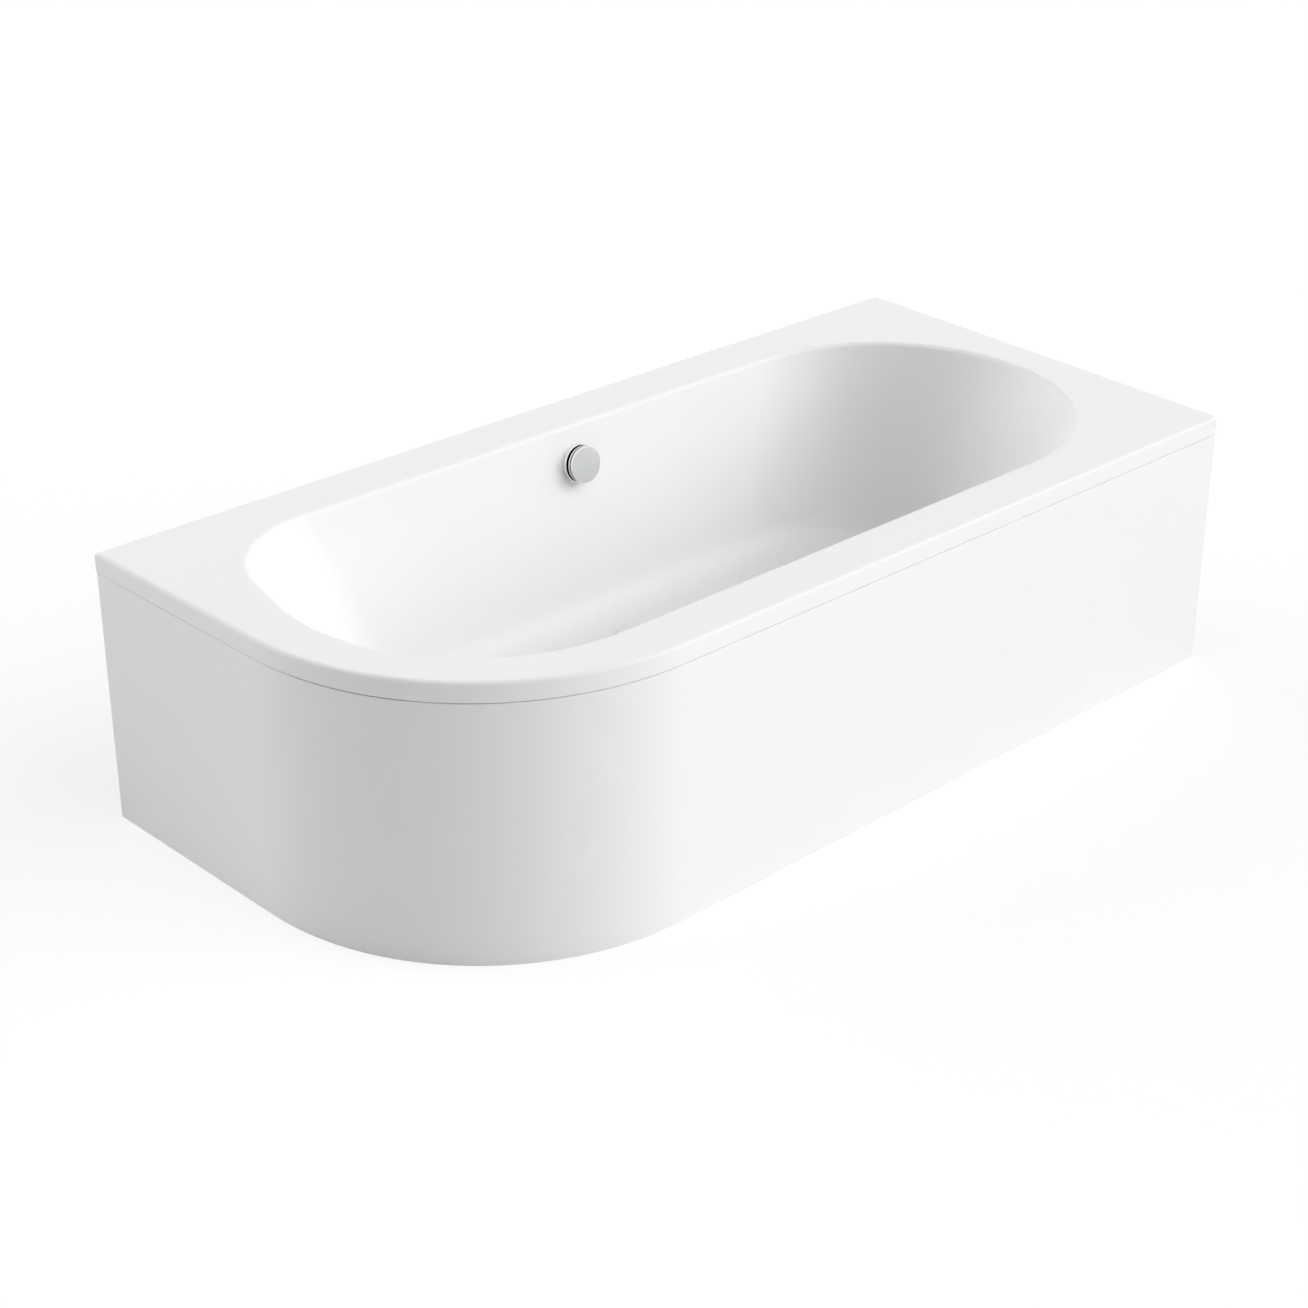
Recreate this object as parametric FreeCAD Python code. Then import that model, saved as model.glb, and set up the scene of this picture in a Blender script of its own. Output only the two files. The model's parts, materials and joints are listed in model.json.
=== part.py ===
import FreeCAD, Part
import math
import os

# Corner bathtub: an asymmetric double-ended basin in a flat rim, with one curved outer corner,
# a one-piece curved panel, a levelling cradle and a knob-operated pop-up waste.
# Millimetres. The origin is on the floor under the middle of the plan. +X runs along the
# length towards the end wall, +Y towards the long back wall, +Z up.

V = FreeCAD.Vector

# ---------------------------------------------------------------- overall plan
LENGTH = 1800.0              # end wall to the far back corner
WIDTH = 850.0                # back wall to the front face
HEIGHT = 490.0               # floor to the top of the rim
LEFT_END_SLANT = 4.2         # degrees that the open end leans from square
CURVE_RADIUS = 471.0         # the curved front corner
WALL_CORNER_RADIUS = 4.0     # the two corners that stand against the back wall
FRONT_CORNER_RADIUS = 5.0    # the square front corner at the end wall

# ---------------------------------------------------------------- shell
SKIN = 6.0                   # acrylic with its laminate
RIM_FACE = 35.0              # height of the rim's downturned lip
RIM_EDGE_ROUND = 7.0         # outer top edge of the rim
LIP_EDGE_ROUND = 1.5         # lower outer edge of the lip
RIM_BACK = 102.0             # rim widths round the opening
RIM_FRONT = 93.0
RIM_RIGHT = 85.0
RIM_LEFT = 110.0
OPENING_SLANT = 9.0          # degrees that the opening's left end leans the other way
OPENING_RADII = (200.0, 325.0, 325.0, 345.0)   # back-left, back-right, front-right, front-left
STRAIGHT_SHARE = 0.995       # most of a side that its two corner radii may take together
OPENING_ROUND = 10.0         # rolled edge where the rim turns down into the basin
FLOOR_LEVEL = 130.0          # basin floor above the room's floor
SIDE_SLOPE = 10.5            # degrees from upright, long walls
END_SLOPE = 28.0             # degrees from upright, the two sloping backrests
FLOOR_RADII = (150.0, 250.0, 250.0, 250.0)     # plan radii of the floor, same order
FLOOR_ROUND = 70.0           # radius from wall to floor

# ---------------------------------------------------------------- rim battens and baseboard
BATTEN_WIDTH = 40.0
BATTEN_DEPTH = 20.0
BATTEN_GAP = 8.0             # between the lip and a batten, room for the wall brackets
BOARD_LENGTH = 980.0
BOARD_WIDTH = 390.0
BOARD_THICKNESS = 15.0
BOARD_CENTRE_X = 15.0
OVER = 1.0                   # how far a cut runs past the face that it opens
BOARD_NOTCH = 130.0          # width of the cut-out round the waste

# ---------------------------------------------------------------- cradle and feet
CHANNEL_SPACING = 760.0      # between the two cradle channels
CHANNEL_WIDTH = 40.0
CHANNEL_HEIGHT = 25.0
CHANNEL_GAUGE = 3.0
CHANNEL_LENGTH = 700.0
FOOT_SPAN = 640.0            # between the feet of one channel
STUD_RADIUS = 6.0
STUD_HOLE_PLAY = 0.5
THREAD_PLAY = 0.05           # radial clearance of the stud in its nuts
NUT_FLATS = 19.0
NUT_HEIGHT = 10.0
FOOT_TRAVEL = 20.0           # how far a foot screws out
STUD_SPARE = 15.0            # stud left over its lock nut when the foot is screwed out
STUD_GRIP = 12.0             # stud left in the centre nut when the foot is screwed out
PAD_RADIUS = 28.0
PAD_HEIGHT = 12.0
PAD_EDGE_ROUND = 2.0
STUD_SEAT = 9.0              # height of the stud's end inside its pad
CENTRE_FOOT = (-150.0, -70.0)
CENTRE_PLATE = 90.0
CENTRE_STUD_GAP = 1.0        # between the centre stud's end and its plate
CRADLE_SCREW_RADIUS = 2.5
CRADLE_SCREW_GRIP = 10.0     # length in the baseboard
CRADLE_SCREW_PITCH = 110.0

# ---------------------------------------------------------------- panel
PANEL_SKIN = 5.0
PANEL_INSET = 1.5            # the panel stands this far behind the rim's face
PANEL_SEAM = 1.5             # gap between the lip and the panel
PANEL_END_GAP = 3.0          # gap to each wall
PANEL_RETURN = 20.0          # turned-in edges at top and bottom
PANEL_EDGE_ROUND = 1.5
CLIP_GAUGE = 2.0
CLIP_WIDTH = 30.0
CLIP_PLAY = 0.5
CLIP_SPACING = 400.0
FRONT_CLIP_LAST = 350.0      # distance of the last front clip from the end wall
FRONT_CLIPS = 3
LEFT_CLIPS = (90.0, 290.0)   # distance from the back wall
CLIP_SCREW_RADIUS = 2.0
CLIP_SCREW_HEAD = 3.0
CLIP_SCREW_INSET = 24.0      # clip screws from a batten's near face
CLIP_SCREW_COVER = 5.0       # timber left over a clip screw's tip
PANEL_SCREW_COVER = 1.0      # moulding left over a panel screw's tip
BLOCK_SIZE = (60.0, 35.0, 40.0)

# ---------------------------------------------------------------- wall brackets
BRACKET_WIDTH = 70.0
BRACKET_GAUGE = 2.5
BRACKET_DROP = 70.0
BRACKET_GAP = 1.0            # between the lip and a bracket's hook
BRACKET_HOLE_RADIUS = 3.0
BRACKET_HOLE_PITCH = 40.0
BACK_BRACKET_INSET = 340.0   # outer brackets from the ends of the back wall
END_BRACKET_INSET = 245.0    # brackets from the ends of the end wall

# ---------------------------------------------------------------- waste and overflow
WASTE_X = 8.0                # waste, plug, knob and trap stand on this line across the bath
WASTE_FROM_BACK = 275.0      # centre of the waste from the back wall
OVERFLOW_DROP = 73.0         # centre of the knob under the rim's top, on the inner face
WASTE_HOLE_RADIUS = 26.0
SEAL = 3.0
FLANGE_BED = 1.0             # upper seal pressed flat under the flange
NECK_RADIUS = 25.0
NECK_BORE = 21.0
FLANGE_RADIUS = 35.0
FLANGE_THICKNESS = 3.0
PLUG_RADIUS = 31.0
PLUG_THICKNESS = 4.5
PLUG_SEAL_THICKNESS = 1.0
PLUG_GAP = 0.2
PLUG_LIFT = 9.0
STEM_RADIUS = 3.0
STEM_SOCKET = 1.0            # how far the stem goes into the plug's cap
RUNNING_PLAY = 0.05          # radial clearance of turning and sliding rods
BODY_RADIUS = 32.0
BODY_WALL = 4.0
BODY_HEIGHT = 45.0
BODY_FLANGE = 5.0
COLLAR_RADIUS = 24.0
COLLAR_BORE = 20.0
COLLAR_HEIGHT = 12.0
LEVER_ARM = 24.0
LEVER_HUB_RADIUS = 3.5
LEVER_TIP_RADIUS = 3.0
LEVER_WIDTH = 8.0
LEVER_GAP = 0.3
LEVER_PIN_RADIUS = 2.0
LEVER_PIVOT_RISE = 20.0      # lever pivot above the body's bottom
PORT_RISE = 20.0             # hose port above the body's bottom
PIPE_RADIUS = 20.0
PIPE_WALL = 2.5
PIPE_NECK = 19.6             # outer radius of the outlet pipe inside its union nut
TRAP_BEND = 30.0             # centre-line radius of the trap's bend
TRAP_KNEE = 24.0             # centre-line radius of the turn to the outlet
TRAP_SEAL = 2.0
TRAP_NUT_RADIUS = 30.0
OUTLET_NUT_RADIUS = 29.0
OUTLET_NUT_LENGTH = 26.0
SOCKET_RADIUS = 25.0
SOCKET_LENGTH = 32.0
OUTLET_REACH = 215.0         # from the waste to the end of the outlet pipe
CAP_RADIUS = 17.0

DRUM_RADIUS = 31.0
DRUM_DEPTH = 52.0
DRUM_WALL = 4.0              # back wall of the drum
DRUM_BORE = 26.0
RING_RADIUS = 36.0
RING_DEPTH = 9.0
GASKET_RADIUS = 35.0
RING_WALL = 3.0
WINDOW_RADIUS = 24.0         # outer radius of the ring's water windows
KNOB_RADIUS = 33.5
KNOB_GAP = 3.0
KNOB_DEPTH = 12.0
KNOB_ROUND = 2.5
KNOB_FACE = 4.0              # thickness of the knob's face
SPINDLE_RADIUS = 4.0
SCREW_BOSS_RADIUS = 4.5
HUB_GAP = 0.2                # between the knob's hub and the ring's bush
WHEEL_RADIUS = 13.0
WHEEL_WIDTH = 6.0
OVERFLOW_SCREW_PITCH = 40.0
HOSE_AXIS_DEPTH = 30.0       # hose axis behind the basin's inner face
HOSE_RADIUS = 17.0
HOSE_VALLEY = 15.0
HOSE_BORE = 13.0
HOSE_RIB_PITCH = 5.0
HOSE_BEND = 64.0
BARB_BORE = 10.5
HOSE_NUT_RADIUS = 23.0
HOSE_NUT_LENGTH = 22.0
NUT_CLEARANCE = 2.0          # between a hose nut and the housing beside it
BARB_STEP = 2.0              # gap between a port's collar and the hose's end
BARB_LENGTH = 18.0           # barb inside the hose
HOSE_COLLAR_RADIUS = 19.0
CABLE_RADIUS = 3.0
CABLE_OFFSET = 29.0          # sideways from the hose
CABLE_BEND = 95.0
GLAND_RADIUS = 5.0

# ---------------------------------------------------------------- levels and places that follow
SEAM_LEVEL = HEIGHT - RIM_FACE
DECK_UNDERSIDE = HEIGHT - SKIN
BATTEN_UNDERSIDE = DECK_UNDERSIDE - BATTEN_DEPTH
OVERFLOW_LEVEL = HEIGHT - OVERFLOW_DROP
DEPTH = HEIGHT - FLOOR_LEVEL
BOARD_TOP = FLOOR_LEVEL - SKIN
CHANNEL_TOP = BOARD_TOP - BOARD_THICKNESS
CHANNEL_UNDERSIDE = CHANNEL_TOP - CHANNEL_GAUGE
CENTRE_NUT_HEIGHT = FOOT_TRAVEL + STUD_GRIP
SIDE = math.radians(SIDE_SLOPE)
END = math.radians(END_SLOPE)
BACK_WALL_TOP = WIDTH / 2 - RIM_BACK
WASTE = (WASTE_X, WIDTH / 2 - WASTE_FROM_BACK)
FLANGE_SEAT = FLOOR_LEVEL + FLANGE_BED
OVERFLOW_Y = BACK_WALL_TOP - (HEIGHT - OVERFLOW_LEVEL) * math.tan(SIDE)
BODY_TOP = BOARD_TOP - SEAL
BODY_BOTTOM = BODY_TOP - BODY_HEIGHT
COLLAR_BOTTOM = BODY_BOTTOM - COLLAR_HEIGHT
PORT_LEVEL = BODY_BOTTOM + PORT_RISE


# ---------------------------------------------------------------- helpers
def box(x0, x1, y0, y1, z0, z1):
    """Box between two corners."""
    return Part.makeBox(x1 - x0, y1 - y0, z1 - z0, V(x0, y0, z0))


def rod(radius, z0, z1, x=0.0, y=0.0):
    """Upright cylinder from z0 to z1."""
    return Part.makeCylinder(radius, z1 - z0, V(x, y, z0))


def pipe(outer, inner, z0, z1, x=0.0, y=0.0):
    """Upright tube from z0 to z1."""
    return rod(outer, z0, z1, x, y).cut(rod(inner, z0 - OVER, z1 + OVER, x, y))


def rod_along(radius, start, direction, length):
    """Cylinder from a point along any direction."""
    return Part.makeCylinder(radius, length, start, direction)


def hexagon(flats, z0, z1, x, y):
    """Hexagonal prism of the given width across flats."""
    corner = flats / math.sqrt(3)
    turns = [math.radians(60 * i) for i in range(7)]
    points = [V(x + corner * math.cos(turn), y + corner * math.sin(turn), z0) for turn in turns]
    return Part.Face(Part.makePolygon(points)).extrude(V(0, 0, z1 - z0))


def join(shapes):
    """Fuse touching shapes into one solid."""
    return shapes[0].multiFuse(shapes[1:]).removeSplitter()


def group(shapes):
    """Separate solids that share one node."""
    return Part.makeCompound(shapes)


def moved(corners, distances):
    """Shift each side of a clockwise polygon inwards by its own distance."""
    lines = []
    for i, start in enumerate(corners):
        end = corners[(i + 1) % len(corners)]
        size = math.hypot(end[0] - start[0], end[1] - start[1])
        dx, dy = (end[0] - start[0]) / size, (end[1] - start[1]) / size
        lines.append((start[0] + dy * distances[i], start[1] - dx * distances[i], dx, dy))
    result = []
    for i, (x2, y2, dx2, dy2) in enumerate(lines):
        x1, y1, dx1, dy1 = lines[i - 1]
        along = ((x2 - x1) * dy2 - (y2 - y1) * dx2) / (dx1 * dy2 - dy1 * dx2)
        result.append((x1 + along * dx1, y1 + along * dy1))
    return result


def fitting(corners, radii):
    """Corner radii, made smaller together where two of them don't fit on the side between them."""
    shares = []
    for i, here in enumerate(corners):
        after = corners[(i + 1) % len(corners)]
        side = math.hypot(after[0] - here[0], after[1] - here[1])
        shares.append(STRAIGHT_SHARE * side / (tangent(corners, radii, i) + tangent(corners, radii, i + 1)))
    return [radius * min(1.0, *shares) for radius in radii]


def tangent(corners, radii, index):
    """Length that one rounded corner takes from each of its sides."""
    i = index % len(corners)
    here, before, after = corners[i], corners[i - 1], corners[(i + 1) % len(corners)]
    to_before = V(before[0] - here[0], before[1] - here[1], 0)
    to_after = V(after[0] - here[0], after[1] - here[1], 0)
    return radii[i] / math.tan(to_before.getAngle(to_after) / 2)


def rounded(corners, radii, z):
    """Closed wire through a polygon whose corners are rounded by their radii."""
    stops = []
    for i, here in enumerate(corners):
        before = corners[i - 1]
        after = corners[(i + 1) % len(corners)]
        to_before = V(before[0] - here[0], before[1] - here[1], 0).normalize()
        to_after = V(after[0] - here[0], after[1] - here[1], 0).normalize()
        half = to_before.getAngle(to_after) / 2
        corner = V(here[0], here[1], z)
        reach = radii[i] / math.tan(half)
        bisector = (to_before + to_after).normalize()
        middle = corner + bisector * (radii[i] / math.sin(half) - radii[i])
        stops.append((corner + to_before * reach, middle, corner + to_after * reach))
    edges = []
    for i, (first, middle, last) in enumerate(stops):
        edges.append(Part.Arc(first, middle, last).toShape())
        edges.append(Part.LineSegment(last, stops[(i + 1) % len(stops)][0]).toShape())
    return Part.Wire(edges)


def plate(corners, radii, z0, z1):
    """Prism with a rounded outline."""
    return Part.Face(rounded(corners, radii, z0)).extrude(V(0, 0, z1 - z0))


# ---------------------------------------------------------------- plan outlines
def open_end_x(distance):
    """X of the slanted end at a distance from the back wall; its rounded corner reaches the full length."""
    slant = math.radians(LEFT_END_SLANT)
    spared = WALL_CORNER_RADIUS * (math.tan(slant) + 1 / math.cos(slant) - 1)
    return -LENGTH / 2 - spared + distance * math.tan(slant)


def rim_corners():
    """Back-left, back-right, front-right and front-left corners of the rim."""
    left = open_end_x(0)
    return [(left, WIDTH / 2), (LENGTH / 2, WIDTH / 2),
            (LENGTH / 2, -WIDTH / 2), (open_end_x(WIDTH), -WIDTH / 2)]


def rim_radii(inset):
    """Corner radii of the rim's outline, moved inwards."""
    least = 1.0
    full = (WALL_CORNER_RADIUS, WALL_CORNER_RADIUS, FRONT_CORNER_RADIUS, CURVE_RADIUS)
    return [max(radius - inset, least) for radius in full]


def opening_corners():
    """The basin's opening in the rim, in the same order."""
    back = BACK_WALL_TOP
    front = -WIDTH / 2 + RIM_FRONT
    right = LENGTH / 2 - RIM_RIGHT
    left = -LENGTH / 2 + RIM_LEFT
    lean = math.tan(math.radians(OPENING_SLANT))
    return [(left + back * lean, back), (right, back), (right, front), (left + front * lean, front)]


def basin(grow):
    """Solid of the basin's inside, or with grow the solid of its outside."""
    top_moves = [-grow / math.cos(a) for a in (SIDE, END, SIDE, END)]
    drop = DEPTH + grow
    floor_moves = [drop * math.tan(a) - grow / math.cos(a) for a in (SIDE, END, SIDE, END)]
    top_radii = fitting(opening_corners(), OPENING_RADII)
    top = rounded(moved(opening_corners(), top_moves), [r + grow for r in top_radii], HEIGHT)
    inner_floor = moved(opening_corners(), [DEPTH * math.tan(a) for a in (SIDE, END, SIDE, END)])
    floor_radii = fitting(inner_floor, FLOOR_RADII)
    floor_corners = moved(opening_corners(), floor_moves)
    floor = rounded(floor_corners, [r + grow for r in floor_radii], FLOOR_LEVEL - grow)
    solid = Part.makeLoft([top, floor], True, True)
    bottom_edges = [e for e in solid.Edges if e.BoundBox.ZMax < FLOOR_LEVEL - grow + 0.01]
    return solid.makeFillet(FLOOR_ROUND + grow, bottom_edges)


def overflow_frame():
    """Placement whose origin is on the inner back wall and whose Z points into the basin."""
    out_of_wall = V(0, -math.cos(SIDE), math.sin(SIDE))
    rotation = FreeCAD.Rotation(V(1, 0, 0), V(0, 0, 0), out_of_wall, "ZXY")
    return FreeCAD.Placement(V(WASTE[0], OVERFLOW_Y, OVERFLOW_LEVEL), rotation)


def at_overflow(shape):
    """Move a shape from the overflow's own frame to the bath."""
    shape.Placement = overflow_frame().multiply(shape.Placement)
    return shape


# ---------------------------------------------------------------- shell and what is bonded to it
def bath_shell():
    """Rim, lip and basin in one moulding."""
    slab = plate(rim_corners(), rim_radii(0), SEAM_LEVEL, HEIGHT)
    under = plate(moved(rim_corners(), [SKIN] * 4), rim_radii(SKIN), SEAM_LEVEL - OVER, DECK_UNDERSIDE)
    below_top = box(-LENGTH, LENGTH, -WIDTH, WIDTH, 0, HEIGHT - SKIN / 2)
    shell = slab.cut(under).fuse(basin(SKIN).common(below_top)).cut(basin(0)).removeSplitter()
    top = top_face(shell)
    opening = [w for w in top.Wires if not w.isSame(top.OuterWire)][0]
    shell = shell.makeFillet(OPENING_ROUND, opening.Edges)
    shell = shell.makeFillet(RIM_EDGE_ROUND, top_face(shell).OuterWire.Edges)
    outline = rounded(rim_corners(), rim_radii(0), SEAM_LEVEL)
    lip = [e for e in shell.Edges if abs(e.BoundBox.ZMax - SEAM_LEVEL) < 0.01 and is_on(e, outline)]
    shell = shell.makeFillet(LIP_EDGE_ROUND, lip)
    waste_hole = rod(WASTE_HOLE_RADIUS, 0, FLOOR_LEVEL + OVER, *WASTE)
    overflow_hole = at_overflow(rod(WASTE_HOLE_RADIUS, -2 * SKIN, SKIN))
    return shell.cut(waste_hole).cut(overflow_hole)


def is_on(edge, wire):
    """True if the middle of an edge lies on a wire."""
    point = edge.valueAt((edge.FirstParameter + edge.LastParameter) / 2)
    return wire.distToShape(Part.Vertex(point))[0] < 0.01


def top_face(shell):
    """The rim's flat top."""
    return [f for f in shell.Faces if f.BoundBox.ZMin > HEIGHT - 0.01][0]


def left_edge_frame(distance):
    """Placement on the slanted end: X along it, Y inwards, at a distance from the back wall."""
    turn = FreeCAD.Rotation(V(0, 0, 1), LEFT_END_SLANT - 90)
    return FreeCAD.Placement(V(open_end_x(distance), WIDTH / 2 - distance, 0), turn)


def front_edge_frame(x):
    """Placement on the front edge: X along it, Y inwards."""
    return FreeCAD.Placement(V(x, -WIDTH / 2, 0), FreeCAD.Rotation())


def batten(length):
    """Rim batten in an edge's frame, centred on it."""
    near = SKIN + BATTEN_GAP
    return box(-length / 2, length / 2, near, near + BATTEN_WIDTH, BATTEN_UNDERSIDE, DECK_UNDERSIDE)


def front_clip_x(index):
    """Place of a front clip, counted back from the one nearest the end wall."""
    return LENGTH / 2 - FRONT_CLIP_LAST - CLIP_SPACING * index


def edge_frames():
    """Frames of the two open sides where the panel is clipped."""
    front = [front_edge_frame(front_clip_x(i)) for i in reversed(range(FRONT_CLIPS))]
    return [left_edge_frame(d) for d in LEFT_CLIPS] + front


def placed(shape, frame):
    """Copy of a shape moved to a frame."""
    copy = shape.copy()
    copy.Placement = frame.multiply(copy.Placement)
    return copy


def rim_battens(screws):
    """Four timber battens bonded under the rim, two of them drilled for the clip screws."""
    back_frame = FreeCAD.Placement(V(0, WIDTH / 2, 0), FreeCAD.Rotation(V(0, 0, 1), 180))
    right_frame = FreeCAD.Placement(V(LENGTH / 2, 0, 0), FreeCAD.Rotation(V(0, 0, 1), 90))
    back_length = LENGTH - 2 * RIM_LEFT
    end_length = WIDTH - 2 * RIM_BACK
    front_length = CLIP_SPACING * (FRONT_CLIPS - 1) + RIM_LEFT
    left_middle = (LEFT_CLIPS[0] + LEFT_CLIPS[1]) / 2
    left_length = LEFT_CLIPS[1] - LEFT_CLIPS[0] + RIM_LEFT / 2
    front_middle = (front_clip_x(0) + front_clip_x(FRONT_CLIPS - 1)) / 2
    return {
        "rim_batten_back": placed(batten(back_length), back_frame),
        "rim_batten_right": placed(batten(end_length), right_frame),
        "rim_batten_front": placed(batten(front_length), front_edge_frame(front_middle)).cut(screws),
        "rim_batten_left": placed(batten(left_length), left_edge_frame(left_middle)).cut(screws),
    }


def baseboard(screws):
    """Board laminated under the basin floor, with a notch for the waste."""
    half = BOARD_LENGTH / 2
    board = box(BOARD_CENTRE_X - half, BOARD_CENTRE_X + half, -BOARD_WIDTH / 2, BOARD_WIDTH / 2,
                CHANNEL_TOP, BOARD_TOP)
    notch_front = WASTE[1] - BOARD_NOTCH / 2
    notch = box(WASTE[0] - BOARD_NOTCH / 2, WASTE[0] + BOARD_NOTCH / 2, notch_front, BOARD_WIDTH,
                CHANNEL_TOP - OVER, BOARD_TOP + OVER)
    return board.cut(notch).cut(screws)


# ---------------------------------------------------------------- cradle and feet
def channel_x(side):
    """Middle of a cradle channel, side -1 or +1."""
    return BOARD_CENTRE_X + side * CHANNEL_SPACING / 2


def cradle_screw_places():
    """Plan places of the screws through both channels and the centre plate."""
    rows = (-1.5, -0.5, 0.5, 1.5)
    places = [(channel_x(side), row * CRADLE_SCREW_PITCH) for side in (-1, 1) for row in rows]
    edge = CENTRE_PLATE / 2 - 3 * CRADLE_SCREW_RADIUS
    return places + [(CENTRE_FOOT[0] + s * edge, CENTRE_FOOT[1]) for s in (-1, 1)]


def cradle_screws():
    """Pan-head screws up into the baseboard."""
    head_low = CHANNEL_UNDERSIDE - CRADLE_SCREW_RADIUS
    screws = []
    for x, y in cradle_screw_places():
        shank = rod(CRADLE_SCREW_RADIUS, CHANNEL_UNDERSIDE, CHANNEL_TOP + CRADLE_SCREW_GRIP, x, y)
        screws.append(join([shank, rod(2 * CRADLE_SCREW_RADIUS, head_low, CHANNEL_UNDERSIDE, x, y)]))
    return group(screws)


def cradle_channel(side, screws):
    """Steel channel, open downwards, with a hole for each stud."""
    x = channel_x(side)
    half, reach = CHANNEL_WIDTH / 2, CHANNEL_LENGTH / 2
    low = CHANNEL_TOP - CHANNEL_HEIGHT
    outer = box(x - half, x + half, -reach, reach, low, CHANNEL_TOP)
    inner = box(x - half + CHANNEL_GAUGE, x + half - CHANNEL_GAUGE, -reach - OVER, reach + OVER,
                low - OVER, CHANNEL_UNDERSIDE)
    holes = [rod(STUD_RADIUS + STUD_HOLE_PLAY, low, HEIGHT, x, s * FOOT_SPAN / 2) for s in (-1, 1)]
    return outer.cut(inner).cut(group(holes)).cut(screws)


def centre_foot_plate(screws):
    """Square plate under the baseboard that carries the centre foot."""
    x, y = CENTRE_FOOT
    half = CENTRE_PLATE / 2
    return box(x - half, x + half, y - half, y + half, CHANNEL_UNDERSIDE, CHANNEL_TOP).cut(screws)


def foot_places():
    """Name, x, y and stud top of each foot."""
    top = CHANNEL_TOP + NUT_HEIGHT + FOOT_TRAVEL + STUD_SPARE
    corners = [(f"{row}_{end}", channel_x(sx), sy * FOOT_SPAN / 2, top)
               for end, sx in (("left", -1), ("right", 1)) for row, sy in (("front", -1), ("back", 1))]
    clear_of_plate = CHANNEL_UNDERSIDE - CENTRE_STUD_GAP
    return corners + [("centre", CENTRE_FOOT[0], CENTRE_FOOT[1], clear_of_plate)]


def threaded_nut(z0, z1, x, y):
    """Hexagon nut on a stud."""
    bore = rod(STUD_RADIUS + THREAD_PLAY, z0 - OVER, z1 + OVER, x, y)
    return hexagon(NUT_FLATS, z0, z1, x, y).cut(bore)


def foot_nuts():
    """Lower nuts with the long centre nut, and the lock nuts above the channels."""
    under = CHANNEL_UNDERSIDE
    corners = [(x, y) for _, x, y, _ in foot_places()[:-1]]
    lower = [threaded_nut(under - NUT_HEIGHT, under, x, y) for x, y in corners]
    lower.append(threaded_nut(under - CENTRE_NUT_HEIGHT, under, *CENTRE_FOOT))
    upper = [threaded_nut(CHANNEL_TOP, CHANNEL_TOP + NUT_HEIGHT, x, y) for x, y in corners]
    return {"foot_weld_nuts": group(lower), "foot_lock_nuts": group(upper)}


def foot_stud(x, y, top):
    """Threaded stud with a chamfered end."""
    stud = rod(STUD_RADIUS, STUD_SEAT, top, x, y)
    ends = [e for e in stud.Edges if e.BoundBox.ZMin > top - 0.01]
    return stud.makeChamfer(STUD_RADIUS / 6, ends)


def foot_pad(x, y):
    """Moulded pad that swivels on the stud's end."""
    socket = STUD_SEAT + STUD_RADIUS
    disc = rod(PAD_RADIUS, 0, PAD_HEIGHT, x, y)
    rims = [e for e in disc.Edges if e.BoundBox.ZMin > PAD_HEIGHT - 0.01]
    disc = disc.makeFillet(PAD_EDGE_ROUND, rims)
    boss = rod(2 * STUD_RADIUS, PAD_HEIGHT - OVER, socket + STUD_RADIUS, x, y)
    return join([disc, boss]).cut(rod(STUD_RADIUS, STUD_SEAT, HEIGHT, x, y))


# ---------------------------------------------------------------- panel
def front_panel(screws):
    """One curved moulding round the open end, the corner and the front."""
    beyond = RIM_LEFT
    full = moved(rim_corners(), [-beyond, -beyond, 0, 0])
    top = SEAM_LEVEL - PANEL_SEAM

    def skin(inner, outer, z0, z1):
        """Band between two insets from the rim's face, along both open sides."""
        wide = plate(moved(full, [outer] * 4), rim_radii(outer), z0, z1)
        return wide.cut(plate(moved(full, [inner] * 4), rim_radii(inner), z0 - OVER, z1 + OVER))

    face = skin(PANEL_INSET + PANEL_SKIN, PANEL_INSET, 0, top)
    upper = skin(PANEL_INSET + PANEL_RETURN, PANEL_INSET, top - PANEL_SKIN, top)
    lower = skin(PANEL_INSET + PANEL_RETURN, PANEL_INSET, 0, PANEL_SKIN)
    room = box(-LENGTH, LENGTH / 2 - PANEL_END_GAP, -WIDTH, WIDTH / 2 - PANEL_END_GAP, -OVER, HEIGHT)
    panel = join([face, upper, lower]).common(room)
    outline = rounded(moved(full, [PANEL_INSET] * 4), rim_radii(PANEL_INSET), top)
    crest = [e for e in panel.Edges if e.BoundBox.ZMin > top - 0.01 and is_on(e, outline)]
    return panel.makeFillet(PANEL_EDGE_ROUND, crest).cut(screws)


def panel_clip():
    """C-shaped clip that hangs from a batten and carries the panel's upper return."""
    under_return = SEAM_LEVEL - PANEL_SEAM - PANEL_SKIN
    inner = PANEL_INSET + PANEL_RETURN + CLIP_PLAY
    outer = PANEL_INSET + PANEL_SKIN + CLIP_PLAY
    half = CLIP_WIDTH / 2
    far = SKIN + BATTEN_GAP + BATTEN_WIDTH
    lower = box(-half, half, outer, inner + CLIP_GAUGE, under_return - CLIP_GAUGE, under_return)
    web = box(-half, half, inner, inner + CLIP_GAUGE, under_return - CLIP_GAUGE, BATTEN_UNDERSIDE)
    upper = box(-half, half, inner, far, BATTEN_UNDERSIDE - CLIP_GAUGE, BATTEN_UNDERSIDE)
    return join([lower, web, upper])


def small_screw(under, tip, y):
    """Upright screw in an edge's frame with its head below."""
    shank = rod(CLIP_SCREW_RADIUS, under, tip, 0, y)
    return join([shank, rod(2 * CLIP_SCREW_RADIUS, under - CLIP_SCREW_HEAD, under, 0, y)])


def clip_screw():
    """Screw from below into a batten."""
    y = SKIN + BATTEN_GAP + CLIP_SCREW_INSET
    return small_screw(BATTEN_UNDERSIDE - CLIP_GAUGE, DECK_UNDERSIDE - CLIP_SCREW_COVER, y)


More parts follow.
